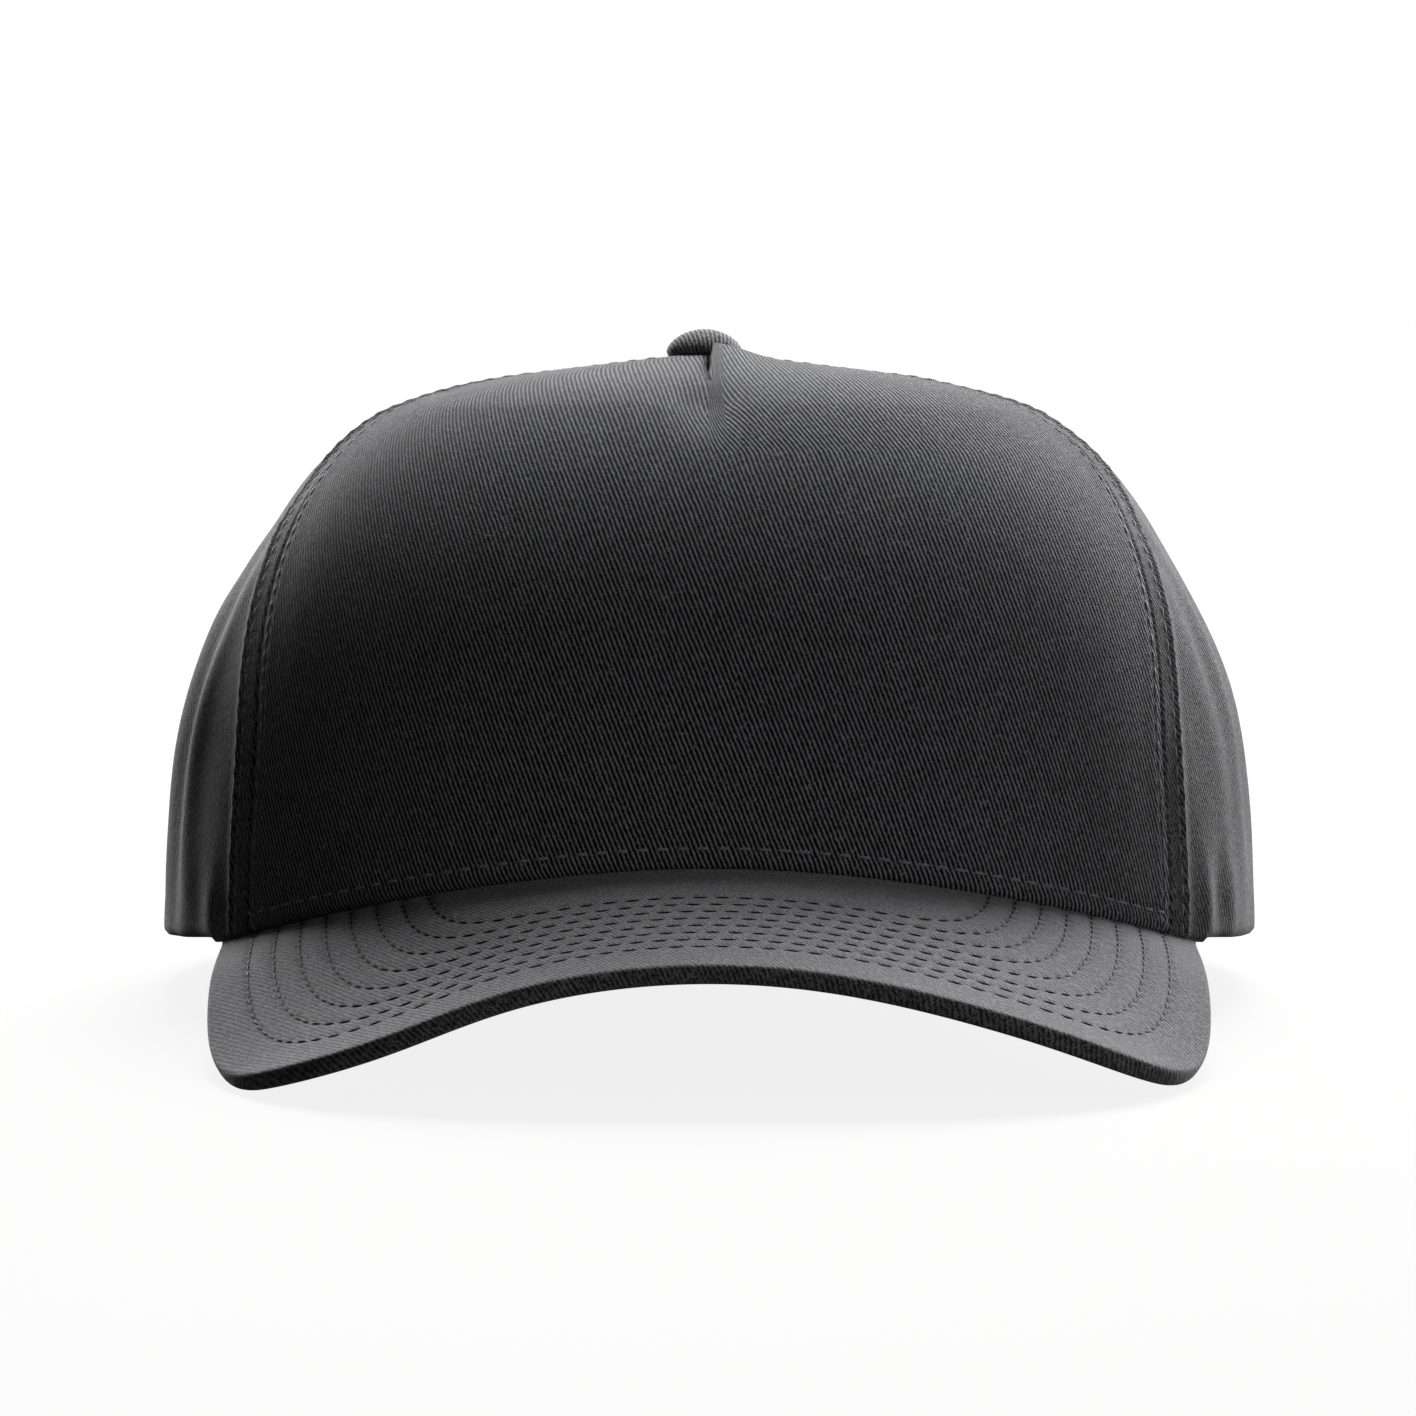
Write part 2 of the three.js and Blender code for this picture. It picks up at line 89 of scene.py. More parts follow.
dimple_half_length = 8.0
dimple_depth = 2.0
visor_seam_height = 13.5
visor_seam_reach = 94.6
visor_fall = 10.9
visor_half_width = 78.9
visor_side_start = 52.0
# The visor's arch across its width, as 1/mm, which gains at the front and a little at the seam
visor_arch = 0.006
visor_front_gain = 0.0023
visor_rear_gain = 0.0005
visor_front_ease = (85.0, 145.0)
visor_rear_ease = (50.0, 85.0)
# Each row: side, spread and rise of a shoulder, because the visor isn't bent quite evenly
visor_shoulders = ((58.0, 18.0, 0.7), (-50.0, 16.0, -1.5))
rim_ease_out = 16.0
side_rim_rise = 1.5
side_rim_fall = (15.0, 65.0)
opening_half_width = 42.0
opening_height = 46.0
seam_play = 0.3
resting_tilt = 5.144
table_shift = (33.05, 6.861)


def smoothstep(value, start, end):
    """Rises from 0 at start to 1 at end along 3t^2 - 2t^3."""
    t = np.clip((value - start) / (end - start), 0.0, 1.0)
    return t * t * (3.0 - 2.0 * t)


def mix(start, end, share):
    """The straight blend from start to end."""
    return start + (end - start) * share


def bell(value, middle, spread):
    """exp(-((value - middle) / spread)^2)."""
    return np.exp(-(((value - middle) / spread) ** 2))


def signed_power(value, power):
    """|value|^power with the sign of value."""
    return np.sign(value) * np.abs(value) ** power


def seam_azimuth(rows, lift):
    """Cubic Hermite curve through rows of (lift, azimuth), each slope taken across its neighbours."""
    lifts, azimuths = np.array(rows, float).T
    inside = np.clip(lift, lifts[0], lifts[-1])
    index = np.clip(np.searchsorted(lifts, inside) - 1, 0, len(lifts) - 2)
    before = np.maximum(np.arange(len(lifts)) - 1, 0)
    after = np.minimum(np.arange(len(lifts)) + 1, len(lifts) - 1)
    slopes = (azimuths[after] - azimuths[before]) / (lifts[after] - lifts[before])
    span = lifts[index + 1] - lifts[index]
    t = (inside - lifts[index]) / span
    start_share = 2 * t**3 - 3 * t**2 + 1
    bend = (t**3 - 2 * t**2 + t) * slopes[index] + (t**3 - t**2) * slopes[index + 1]
    return start_share * azimuths[index] + (1 - start_share) * azimuths[index + 1] + span * bend


def profile_powers(azimuth):
    """Powers of the crown's profile: one pair from the front to the sides, rounder towards the back."""
    back_share = np.minimum(np.cos(np.radians(azimuth)), 0.0) ** 2
    reach_power = 2.0 / mix(front_reach_power, back_reach_power, back_share)
    height_power = 2.0 / mix(front_height_power, back_height_power, back_share)
    return reach_power, height_power


def tuck_lift(x, y):
    """A lapped fold before the button: it steps up at its crease and falls away slowly to the right,
    and fades out forwards into a shallow dimple."""
    radius = np.hypot(x, y)
    start = smoothstep(-y, 0.0, tuck_start) * smoothstep(radius, tuck_start, tuck_start + tuck_rise)
    fade = 1.0 - smoothstep(radius, tuck_fade_start, tuck_end)
    close = 1.0 - smoothstep(radius, groove_fade_start, groove_end)
    edge = smoothstep(x, tuck_crease_x - tuck_crease_half_width, tuck_crease_x + tuck_crease_half_width)
    lap = tuck_fold_height * edge * (1.0 - smoothstep(x, tuck_crease_x, tuck_fold_end_x)) ** 2
    groove = tuck_groove_depth * bell(x, tuck_crease_x - tuck_crease_half_width, tuck_crease_half_width)
    sink = dimple_depth * bell(x, dimple_x, dimple_half_width) * bell(y, dimple_y, dimple_half_length)
    return start * (fade * lap - close * groove) - sink


def crown_point(azimuth, lift):
    """The crown's outer face, a superellipse in plan and in profile, with its soft folds and tuck:
    x = a share |sin|^p, y = -b share |cos|^p, z = h |sin lift|^q less the sag of the top."""
    azimuth, lift = np.broadcast_arrays(np.asarray(azimuth, float), np.asarray(lift, float))
    sine, cosine = np.sin(np.radians(azimuth)), np.cos(np.radians(azimuth))
    reach_power, height_power = profile_powers(azimuth)
    plan_power = np.where(cosine > 0, 2.0 / front_plan_power, 2.0 / back_plan_power)
    share = np.maximum(np.cos(np.radians(lift)), 0.0) ** reach_power
    height = crown_height * np.maximum(np.sin(np.radians(lift)), 0.0) ** height_power
    sag = top_sag_depth * np.sin(np.pi * np.minimum(share / top_sag_end, 1.0))
    swell = sum(
        push * bell(azimuth, middle, spread) * bell(height, level, reach)
        for middle, spread, push, level, reach in soft_folds
    )
    x = crown_half_width * share * signed_power(sine, plan_power) + swell * sine
    y = -crown_reach * share * signed_power(cosine, plan_power) - swell * cosine
    return np.stack([x, y, height - sag + tuck_lift(x, y)], axis=-1)


def lift_at(azimuth, height):
    """The lift angle at which the crown's face reaches a height."""
    share = np.maximum(height, 0.0) / crown_height
    return np.degrees(np.arcsin(share ** (1.0 / profile_powers(azimuth)[1])))


def unit(vectors):
    """Each vector divided by its length."""
    return vectors / np.maximum(np.linalg.norm(vectors, axis=-1, keepdims=True), 1e-9)


def visor_height(x, y):
    """The visor's upper face: a forward fall less an arch across the width, tighter at the front.
    One shoulder stands a little high, and the other sinks."""
    reach = -y
    tighten = smoothstep(reach, *visor_front_ease)
    slacken = 1.0 - smoothstep(reach, *visor_rear_ease)
    arch = visor_arch + visor_front_gain * tighten + visor_rear_gain * slacken
    shoulders = sum(rise * bell(x, middle, spread) for middle, spread, rise in visor_shoulders)
    fall = (visor_seam_reach - reach) * np.tan(np.radians(visor_fall))
    return visor_seam_height + fall - arch * x * x / 2.0 + tighten * shoulders


def rim_height(x, y):
    """Height of the crown's lower edge: on the visor at the front, easing down beside it to a rim
    that stands a little high at the sides, and round the half ellipse of the opening at the back."""
    on_visor = np.maximum(visor_height(x, y) + seam_play, 0.0)
    tip = visor_height(visor_half_width, -visor_side_start) + seam_play
    beside = mix(side_rim_rise, tip, smoothstep(-y, visor_side_start - rim_ease_out, visor_side_start))
    across = np.minimum(np.abs(x) / opening_half_width, 1.0)
    behind = opening_height * np.sqrt(1.0 - across * across)
    behind = np.where(across < 1.0, behind, side_rim_rise * (1.0 - smoothstep(y, *side_rim_fall)))
    return np.where(y < -visor_side_start, on_visor, np.where(y < 0, beside, behind))


def seam_spread(columns, crowding=0.12):
    """Places from 0 to 1, closer together at both ends, where the seams need a finer mesh."""
    t = np.linspace(0.0, 1.0, columns + 1)
    return t - crowding * np.sin(2.0 * np.pi * t)


def panel_grid(start_seam, end_seam, spread):
    """Crown points in columns between two seams. Each column rises from the rim to the ring under
    the button, with close rows over the first few mm, where the hem is, and again at the top."""
    hem_share, hem_rows, upper_rows, crowding = 0.04, 14, 140, 1.7
    low_rise = np.linspace(0.0, hem_share, hem_rows, endpoint=False)
    high_rise = mix(hem_share, 1.0, 1.0 - (1.0 - np.linspace(0.0, 1.0, upper_rows)) ** crowding)
    rise = np.concatenate([low_rise, high_rise])[:, None]
    low_lift = np.zeros_like(spread)
    for _ in range(8):
        azimuth = mix(start_seam(low_lift), end_seam(low_lift), spread)
        foot = crown_point(azimuth, low_lift)
        low_lift = lift_at(azimuth, rim_height(foot[:, 0], foot[:, 1]))
    ring_share = ring_radius / crown_half_width
    top_lift = np.degrees(np.arccos(ring_share ** (1.0 / profile_powers(azimuth)[0])))
    lift = mix(low_lift, top_lift, rise)
    place = mix(spread, np.linspace(0.0, 1.0, len(spread)), rise)
    return crown_point(mix(start_seam(lift), end_seam(lift), place), lift)


def grid_normals(points):
    """Unit cross product of the step along the columns and the step up the rows."""
    up, across = np.gradient(points, axis=(0, 1))
    return unit(np.cross(across, up))


def run(points, axis):
    """Length travelled along one direction of a grid, from its start."""
    steps = np.linalg.norm(np.diff(points, axis=axis), axis=-1)
    lengths = np.cumsum(steps, axis=axis)
    start = np.zeros_like(np.take(lengths, [0], axis=axis))
    return np.concatenate([start, lengths], axis=axis)


def seam_distance(points):
    """Distance of each point from the seam at the first column, and how far up that seam it lies.
    The run along the row is scaled by the sine of the angle between the row and the seam."""
    seam_way = unit(np.gradient(points[:, 0], axis=0))
    row_way = unit(points[:, 1] - points[:, 0])
    slant = np.linalg.norm(np.cross(seam_way, row_way), axis=-1)
    return run(points, 1) * slant[:, None], run(points[:, 0], 0)[:, None]


def seam_relief(distance, along, stitch_inset, rise, puff):
    """Cloth beside a topstitched seam: rolled down into a narrow groove, rising evenly over the
    pressed allowance, dipped under the stitches, then a narrow ridge that puckers with them."""
    roll_depth, roll_width = 0.8, 0.8
    ridge_beyond, ridge_fall, ridge_width = 0.9, 3.0, 0.6
    dip_depth, dip_width = 0.1, 0.4
    pucker_share = 0.3
    rolled = hem_roll(distance, roll_depth, roll_width)
    crest = stitch_inset + ridge_beyond
    ramp = rise * np.minimum(distance / crest, 1.0)
    ramp = ramp * (1.0 - smoothstep(distance, crest, crest + ridge_fall))
    dipped = -dip_depth * bell(distance, stitch_inset, dip_width)
    pucker = np.sin(2.0 * np.pi * along / crown_pitch + 1.5 * np.sin(along / 9.0))
    puffed = puff * (1.0 + pucker_share * pucker) * bell(distance, crest, ridge_width)
    return rolled + ramp + dipped + puffed


def hem_roll(distance, depth=0.75, width=1.2):
    """An edge that is turned under: it falls away as a parabola over the last width."""
    return -depth * np.clip(1.0 - distance / width, 0.0, 1.0) ** 2


def tip_over(points):
    """Turns cap-frame mm by the resting tilt and moves them to the table's frame, in metres."""
    turn = np.radians(resting_tilt)
    x, y, z = np.moveaxis(np.asarray(points, float), -1, 0)
    over = y * np.cos(turn) + z * np.sin(turn) + table_shift[0]
    up = -y * np.sin(turn) + z * np.cos(turn) + table_shift[1]
    return np.stack([x, over, up], axis=-1) * 0.001


def settle(points):
    """Stands points on the table, with cloth that would pass through it pressed flat."""
    placed = tip_over(points)
    placed[..., 2] = np.maximum(placed[..., 2], 0.0)
    return placed


def fill_mesh(name, points, faces, weave=None):
    """A smooth mesh object at the origin from points in mm. weave gives each point's place on the
    flat cloth in mm, kept as a UV map."""
    mesh = bpy.data.meshes.new(name)
    mesh.from_pydata(settle(points).tolist(), [], faces)
    mesh.shade_smooth()
    if weave is not None:
        corners = np.empty(len(mesh.loops), int)
        mesh.loops.foreach_get("vertex_index", corners)
        layer = mesh.uv_layers.new(name="weave")
        layer.data.foreach_set("uv", weave[corners].astype(np.float32).ravel())
    piece = bpy.data.objects.new(name, mesh)
    bpy.context.scene.collection.objects.link(piece)
    return piece


def grid_faces(rows, columns, rows_close=False, columns_close=False, turned=False):
    """Four-cornered faces between neighbours in a grid whose points are kept row by row. A closed
    direction joins its last line to its first, and turned faces look the other way."""
    row = np.arange(rows if rows_close else rows - 1)[:, None]
    column = np.arange(columns if columns_close else columns - 1)[None, :]
    next_row = (row + 1) % rows
    next_column = (column + 1) % columns
    far_corner = next_row * columns + next_column
    beside = row * columns + next_column
    corners = [row * columns + column, next_row * columns + column, far_corner, beside]
    faces = np.stack(corners, axis=-1).reshape(-1, 4)
    return faces[:, [0, 3, 2, 1]] if turned else faces


def loop_mesh(name, loops, weave=None):
    """Joins closed loops of points, one after another, and closes both ends with a strip across
    the loop. Every loop goes one way up and comes back, so point i faces point -1 - i."""
    count, size = loops.shape[:2]
    low = np.arange(size // 2 - 1)
    end = np.stack([low, low + 1, size - 2 - low, size - 1 - low], -1)
    far_end = (count - 1) * size + end[:, ::-1]
    faces = np.concatenate([grid_faces(count, size, columns_close=True), end, far_end])
    flat_weave = None if weave is None else weave.reshape(-1, 2)
    return fill_mesh(name, loops.reshape(-1, 3), faces.tolist(), flat_weave)


def cloth_wall(name, outer, inner, weave):
    """A wall of cloth between an outer and an inner grid, as a loop up and down each column."""
    up_and_down = np.concatenate([outer, inner[::-1]]).swapaxes(0, 1)
    weave_loops = np.concatenate([weave, weave[::-1]]).swapaxes(0, 1)
    return loop_mesh(name, up_and_down, weave_loops)


def panel_weave(points):
    """Place on the flat cloth: run along the row from the middle column, and height up the column."""
    across = run(points, 1)
    across = across - across[:, [points.shape[1] // 2]]
    return np.stack([across, run(points, 0) + points[0, :, 2]], axis=-1)


def linear(colour):
    """Linear RGBA from an sRGB hex colour."""
    parts = np.array([int(colour[i : i + 2], 16) for i in (1, 3, 5)]) / 255.0
    low, high = parts / 12.92, ((parts + 0.055) / 1.055) ** 2.4
    return (*np.where(parts <= 0.04045, low, high).tolist(), 1.0)


def empty_material(name):
    """A material without any nodes, and its node tree."""
    material = bpy.data.materials.new(name)
    material.use_nodes = True
    material.node_tree.nodes.clear()
    return material, material.node_tree


def add_node(tree, kind, inputs=None, output=None, **settings):
    """Adds one node with its settings. inputs gives each socket a value or the output that feeds it.
    Returns the named output, or else the node."""
    made = tree.nodes.new("ShaderNode" + kind)
    for name, value in settings.items():
        setattr(made, name, value)
    for name, value in (inputs or {}).items():
        if isinstance(value, bpy.types.NodeSocket):
            tree.links.new(value, made.inputs[name])
        else:
            made.inputs[name].default_value = value
    return made.outputs[output] if output else made


def with_shader(material, sockets):
    """Ends a material with one principled shader that has these sockets."""
    shader = add_node(material.node_tree, "BsdfPrincipled", sockets, "BSDF")
    add_node(material.node_tree, "OutputMaterial", {"Surface": shader})
    return material


def cotton_twill(
    name, shadow, crest, lean, sheen, wale_depth=0.14, contrast=1.2, wale_share=0.3, mottle=0.14
):
    """Yarn-dyed cotton twill: diagonal wales 0.75 mm apart, each a row of round yarn floats, broken up by
    uneven yarn and lint. Its colour runs from shadow to crest with the same yarn height as the bump:
    painted shade in the valleys and painted highlight on the crests, over the yarns' own uneven tone.
    Raised fibres light up at its rim. lean is the wales' angle in degrees and wale_depth their height in
    mm."""
    wale_pitch = 0.75
    float_length = 1.4
    wale_drift = 0.4
    material, tree = empty_material(name)
    place = add_node(tree, "UVMap", output="UV", uv_map="weave")
    # Turned so that X counts wales and Y counts floats
    turned = add_node(
        tree,
        "Mapping",
        {
            "Vector": place,
            "Rotation": (0.0, 0.0, np.radians(lean)),
            "Scale": (wale_pitch, float_length, 1.0),
        },
        "Vector",
        vector_type="TEXTURE",
    )
    drift = add_node(
        tree, "TexNoise", {"Vector": place, "Scale": 0.08, "Detail": 1.0}, "Fac", noise_dimensions="2D"
    )
    across = add_node(tree, "SeparateXYZ", {"Vector": turned}, "X")
    bent = add_node(tree, "Math", {0: drift, 1: wale_drift, 2: across}, "Value", operation="MULTIPLY_ADD")
    angle = add_node(tree, "Math", {0: bent, 1: 2.0 * np.pi}, "Value", operation="MULTIPLY")
    wave = add_node(tree, "Math", {0: angle}, "Value", operation="SINE")
    floats = add_node(
        tree,
        "TexNoise",
        {"Vector": turned, "Scale": 1.3, "Detail": 2.0, "Roughness": 0.7},
        "Fac",
        noise_dimensions="2D",
    )
    lint = add_node(
        tree, "TexNoise", {"Vector": place, "Scale": 3.0, "Detail": 2.0}, "Fac", noise_dimensions="2D"
    )
    # The wale, its floats and the lint together make the height of the yarns, from about 0 to 1
    yarn = add_node(tree, "Math", {0: wave, 1: wale_share, 2: -0.6}, "Value", operation="MULTIPLY_ADD")
    for uneven, amount in ((floats, 1.2), (lint, 1.0)):
        yarn = add_node(tree, "Math", {0: uneven, 1: amount, 2: yarn}, "Value", operation="MULTIPLY_ADD")
    # Painted shade and highlight: the tone darkens the yarn valleys and lightens the crests by their
    # height
    tone = add_node(
        tree,
        "MapRange",
        {"Value": yarn, "From Min": 0.5 - 0.5 / contrast, "From Max": 0.5 + 0.5 / contrast},
        "Result",
        interpolation_type="SMOOTHSTEP",
    )
    cloth = add_node(
        tree, "Mix", {"Factor": tone, "A": linear(shadow), "B": linear(crest)}, "Result", data_type="RGBA"
    )
    worn = add_node(
        tree, "TexNoise", {"Vector": place, "Scale": 0.35, "Detail": 4.0}, "Fac", noise_dimensions="2D"
    )
    worn_tone = add_node(
        tree,
        "MapRange",
        {"Value": worn, "From Min": 0.3, "From Max": 0.7, "To Min": 1.0 - mottle, "To Max": 1.0 + mottle},
        "Result",
    )
    coloured = add_node(tree, "VectorMath", {0: cloth, "Scale": worn_tone}, "Vector", operation="SCALE")
    bumped = add_node(
        tree, "Bump", {"Height": yarn, "Strength": 1.0, "Distance": wale_depth * 0.001}, "Normal"
    )
    sockets = {
        "Base Color": coloured,
        "Roughness": 0.92,
        "Specular IOR Level": 0.2,
        "Sheen Weight": sheen,
        "Sheen Roughness": 0.45,
        "Sheen Tint": linear("#d8d8dc"),
        "Normal": bumped,
    }
    return with_shader(material, sockets)


def dress(piece, material, slot, *nodes):
    """Gives a piece its material and body, and lets it stand for its CAD nodes. slot is not used."""
    piece.data.materials.append(material)
    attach(piece, "root")
    if nodes:
        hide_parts(*nodes)
    return piece


def cloth_ripple(weave, height=0.12):
    """Slow unevenness of a sewn panel: three crossed waves, 17 to 40 mm long, with bent phases."""
    u, v = weave[..., 0], weave[..., 1]
    first = np.sin(u / 6.3 + 1.1 * np.sin(v / 9.0))
    second = np.sin(v / 5.1 + 0.9 * np.sin(u / 7.7) + 1.3)
    third = np.sin((u + v) / 3.4 + 1.7 * np.sin(v / 12.0))
    return height * (0.45 * first + 0.35 * second + 0.2 * third)


def under_button(points):
    """0 under the button and 1 well clear of it: the relief of the seams fades out towards it."""
    return smoothstep(np.hypot(points[..., 0], points[..., 1]), *relief_ease)


relief_ease = (5.0, 34.0)
crown_pitch = 3.2
front_columns = 220
front_stitch_inset = 2.2
front_seam_rise = 0.1
front_seam_puff = 0.05
front_hem_stitch = 3.4
front_hem_dip = 0.16
front_hem_dip_width = 0.6
front_ripple = 0.06
front_lean = 22.0
tuck_slew = 0.4
tuck_slew_start = 80.0
tuck_slew_width = 2.0
front = panel_grid(
    lambda lift: -seam_azimuth(front_seam, lift),
    lambda lift: seam_azimuth(front_seam, lift),
    seam_spread(front_columns),
)
# The weave is measured on the cloth as it was before the tuck was folded
untucked = front.copy()
untucked[..., 2] -= tuck_lift(front[..., 0], front[..., 1])
front_weave = panel_weave(untucked)
front_normals = grid_normals(front)
from_left, up_left = seam_distance(front)
from_right, up_right = seam_distance(front[:, ::-1])
front_up = run(front, 0)
front_relief = cloth_ripple(front_weave, front_ripple)
front_relief -= front_hem_dip * bell(front_up, front_hem_stitch, front_hem_dip_width)
for distance, along in ((from_left, up_left), (from_right[:, ::-1], up_right)):
    front_relief += seam_relief(distance, along, front_stitch_inset, front_seam_rise, front_seam_puff)
front_relief = front_relief * under_button(front) + hem_roll(front_up, 0.9, 1.5)
front_face = front + front_normals * front_relief[..., None]
front_lining = front - front_normals * crown_wall
# Seen from the front, the wales keep one lean up to the button. The cloth right of the tuck was
# turned before it was lapped, so its wales lean further over
front_weave[..., 0] += np.tan(np.radians(front_lean)) * (untucked[..., 2] - front_weave[..., 1])
slewed = tuck_slew * np.maximum(untucked[..., 2] - tuck_slew_start, 0.0)
front_weave[..., 0] += slewed * smoothstep(front[..., 0], tuck_crease_x, tuck_crease_x + tuck_slew_width)
# Painted light: this copy of the twill has its own tones, darker valleys and lighter crests than the soft
# panels', set for how light falls on the front
front_twill = cotton_twill(
    "charcoal_twill_on_buckram_painted_light",
    "#0a0a0b",
    "#656568",
    front_lean,
    0.05,
    wale_depth=0.28,
    contrast=2.6,
    wale_share=0.42,
)
front_piece = cloth_wall("front_panel_twill", front_face, front_lining, front_weave)
dress(front_piece, front_twill, "cap_twill", "front_panel")

# Side panels
# Two tall panels of the same twill without any backing, so they are softer and show slow folds.
# Each is sewn to the front and to a back panel, with the allowances pressed open and topstitched
# on both sides of the seam, which leaves a flat band and then a puffed ridge.
# Each row: lift above the rim, azimuth from the front
rear_seam = ((0, 117), (30, 119), (60, 127), (90, 139))
side_columns = 150
side_stitch_inset = 3.9
side_seam_rise = 0.4
side_seam_puff = 0.34
side_ripple = 0.22
side_inset = 0.2
# Each row: azimuth, spread, swell, middle height, reach: cloth bunched beside the visor's ends
tip_bunches = (
    (-57.5, 1.6, 0.5, 6.0, 6.0),
    (-61.5, 1.8, -0.4, 8.0, 7.0),
    (57.5, 1.7, 0.9, 7.0, 7.0),
    (61.5, 1.8, -0.5, 8.0, 8.0),
    (65.0, 2.0, 0.4, 7.0, 8.0),
)
# The same columns: long upright folds where the soft cloth is held by the stiff front
upright_folds = (
    (-65.5, 2.2, 0.75, 34.0, 26.0),
    (-70.5, 2.4, -0.95, 34.0, 28.0),
    (-76.5, 3.0, 0.60, 38.0, 30.0),
    (-83.0, 3.4, -0.40, 40.0, 28.0),
    (66.5, 2.2, -0.45, 40.0, 28.0),
    (71.0, 2.4, 0.65, 42.0, 26.0),
    (76.5, 3.0, -0.60, 42.0, 26.0),
    (83.5, 3.0, 0.75, 42.0, 26.0),
)
side_twill = cotton_twill(
    "charcoal_twill_soft", "#0e0e0f", "#545456", 22.0, 0.16, wale_share=0.2, mottle=0.2, contrast=1.7
)


def bunches(points):
    """Small folds pushed up where the hem turns round the visor's end, and the long upright ones."""
    azimuth = np.degrees(np.arctan2(points[..., 0], -points[..., 1]))
    return sum(
        swell * bell(azimuth, middle, spread) * bell(points[..., 2], level, reach)
        for middle, spread, swell, level, reach in tip_bunches + upright_folds
    )


def soft_panel_relief(points, weave):
    """Relief shared by the side and back panels: both seams, slow ripples and the turned-up rim."""
    from_start, up_start = seam_distance(points)
    from_end, up_end = seam_distance(points[:, ::-1])
    relief = cloth_ripple(weave, side_ripple) - side_inset
    for distance, along in ((from_start, up_start), (from_end[:, ::-1], up_end)):
        relief = relief + seam_relief(distance, along, side_stitch_inset, side_seam_rise, side_seam_puff)
    return relief * under_button(points)


side_faces = {}
for side, label in ((-1, "left"), (1, "right")):
    seams = (front_seam, rear_seam) if side > 0 else (rear_seam, front_seam)
    panel = panel_grid(
        lambda lift: side * seam_azimuth(seams[0], lift),
        lambda lift: side * seam_azimuth(seams[1], lift),
        seam_spread(side_columns),
    )
    weave = panel_weave(panel)
    relief = soft_panel_relief(panel, weave) + bunches(panel) + hem_roll(run(panel, 0))
    normals = grid_normals(panel)
    side_faces[label] = panel + normals * relief[..., None]
    piece = cloth_wall(f"side_panel_{label}_twill", side_faces[label], panel - normals * crown_wall, weave)
    dress(piece, side_twill, "cap_twill", f"side_panel_{label}")

# Back panels
# Two panels of the same soft twill that meet in the centre back seam. Their lower edge is cut in a
# half ellipse over the strap, where the cloth is turned in and topstitched as a hem.
arch_stitch_inset = 4.5
arch_hem_rise = 0.25
arch_hem_end = (4.0, 6.5)
arch_dip = 0.3
arch_dip_width = 0.6
arch_side_columns = 70
arch_columns = 90


def arch_spread(outside_columns, inside_columns):
    """Places of a back panel's columns from its side seam: close at the seam and at the foot of the
    opening, then by equal turns of the opening's quarter ellipse."""
    foot_azimuth = 180.0 - np.degrees(np.arcsin(opening_half_width / crown_half_width))
    seam = rear_seam[0][1]
    outside = seam_spread(outside_columns)[:-1] * (foot_azimuth - seam)
    turn = np.linspace(0.0, np.pi / 2.0, inside_columns + 1)
    arch_x = opening_half_width * np.cos(turn)
    inside = 180.0 - np.degrees(np.arcsin(arch_x / crown_half_width)) - seam
    return np.concatenate([outside, inside]) / (180.0 - seam)


def arch_distance(points):
    """Distance outwards from the opening's ellipse: its level less 1, over the level's slope."""
    x, z = points[..., 0], points[..., 2]
    level = np.hypot(x / opening_half_width, z / opening_height)
    slope = np.hypot(x / opening_half_width**2, z / opening_height**2) / np.maximum(level, 1e-6)
    return (level - 1.0) / slope


back_faces = {}
for side, label in ((-1, "left"), (1, "right")):
    spread = arch_spread(arch_side_columns, arch_columns)
    ends = [
        lambda lift: side * seam_azimuth(rear_seam, lift), lambda lift: np.full_like(lift, side * 180.0)
    ]
    if side < 0:
        spread = 1.0 - spread[::-1]
        ends.reverse()
    panel = panel_grid(ends[0], ends[1], spread)
    weave = panel_weave(panel)
    from_arch = arch_distance(panel)
    hem = arch_hem_rise * (1.0 - smoothstep(from_arch, *arch_hem_end))
    hem = hem - arch_dip * bell(from_arch, arch_stitch_inset, arch_dip_width)
    behind = smoothstep(panel[..., 1], 0.0, 20.0)
    relief = soft_panel_relief(panel, weave) + behind * (hem + hem_roll(from_arch))
    relief += hem_roll(panel[..., 2])
    normals = grid_normals(panel)
    back_faces[label] = panel + normals * relief[..., None]
    piece = cloth_wall(f"back_panel_{label}_twill", back_faces[label], panel - normals * crown_wall, weave)
    dress(piece, side_twill, "cap_twill", f"back_panel_{label}")

# Visor
# A stiff board covered with twill above and below, curved across the forehead and sewn between the
# front panel and the sweatband. Eight rows of lockstitch go through cloth and board, each sunk in
# its own shallow channel, parallel to the front edge and then back to the seam.
visor_thickness = 3.1
visor_front_reach = 161.7
visor_front_roundness = 4.6
visor_side_straightness = 4.7
visor_columns = 330
visor_top_rows = 104
visor_edge_rows = 12
visor_edge_depth = 1.3
visor_tip_azimuth = 58.0
visor_under_crown = 1.4
visor_row_count = 8
row_power = 7.0
row_side_start = 60.0
row_side_straightness = 3.3
row_half_width = 72.8
row_width_step = 4.0
row_reach = 148.3
row_reach_step = 4.9
visor_pitch = 3.5
channel_depth = 0.32
channel_half_width = 0.75
channel_pull = 0.38
channel_end = 4.0
edge_fullness = 0.7


def crown_normal(azimuth, lift):
    """Outward direction of the crown's face: the cross product of a small step across and one up."""
    step = 0.2
    across = crown_point(azimuth + step, lift) - crown_point(azimuth - step, lift)
    up = crown_point(azimuth, lift + step) - crown_point(azimuth, np.maximum(lift - step, 0.0))
    return unit(np.cross(across, up))


def place_along(values, lengths, wanted):
    """Rows of values at the wanted lengths of a line, straight between its points."""
    return np.stack([np.interp(wanted, lengths, column) for column in values.T], axis=-1)


def even_steps(points, count):
    """Points at equal lengths along a line of points."""
    lengths = run(points, 0)
    return place_along(points, lengths, np.linspace(0.0, lengths[-1], count))


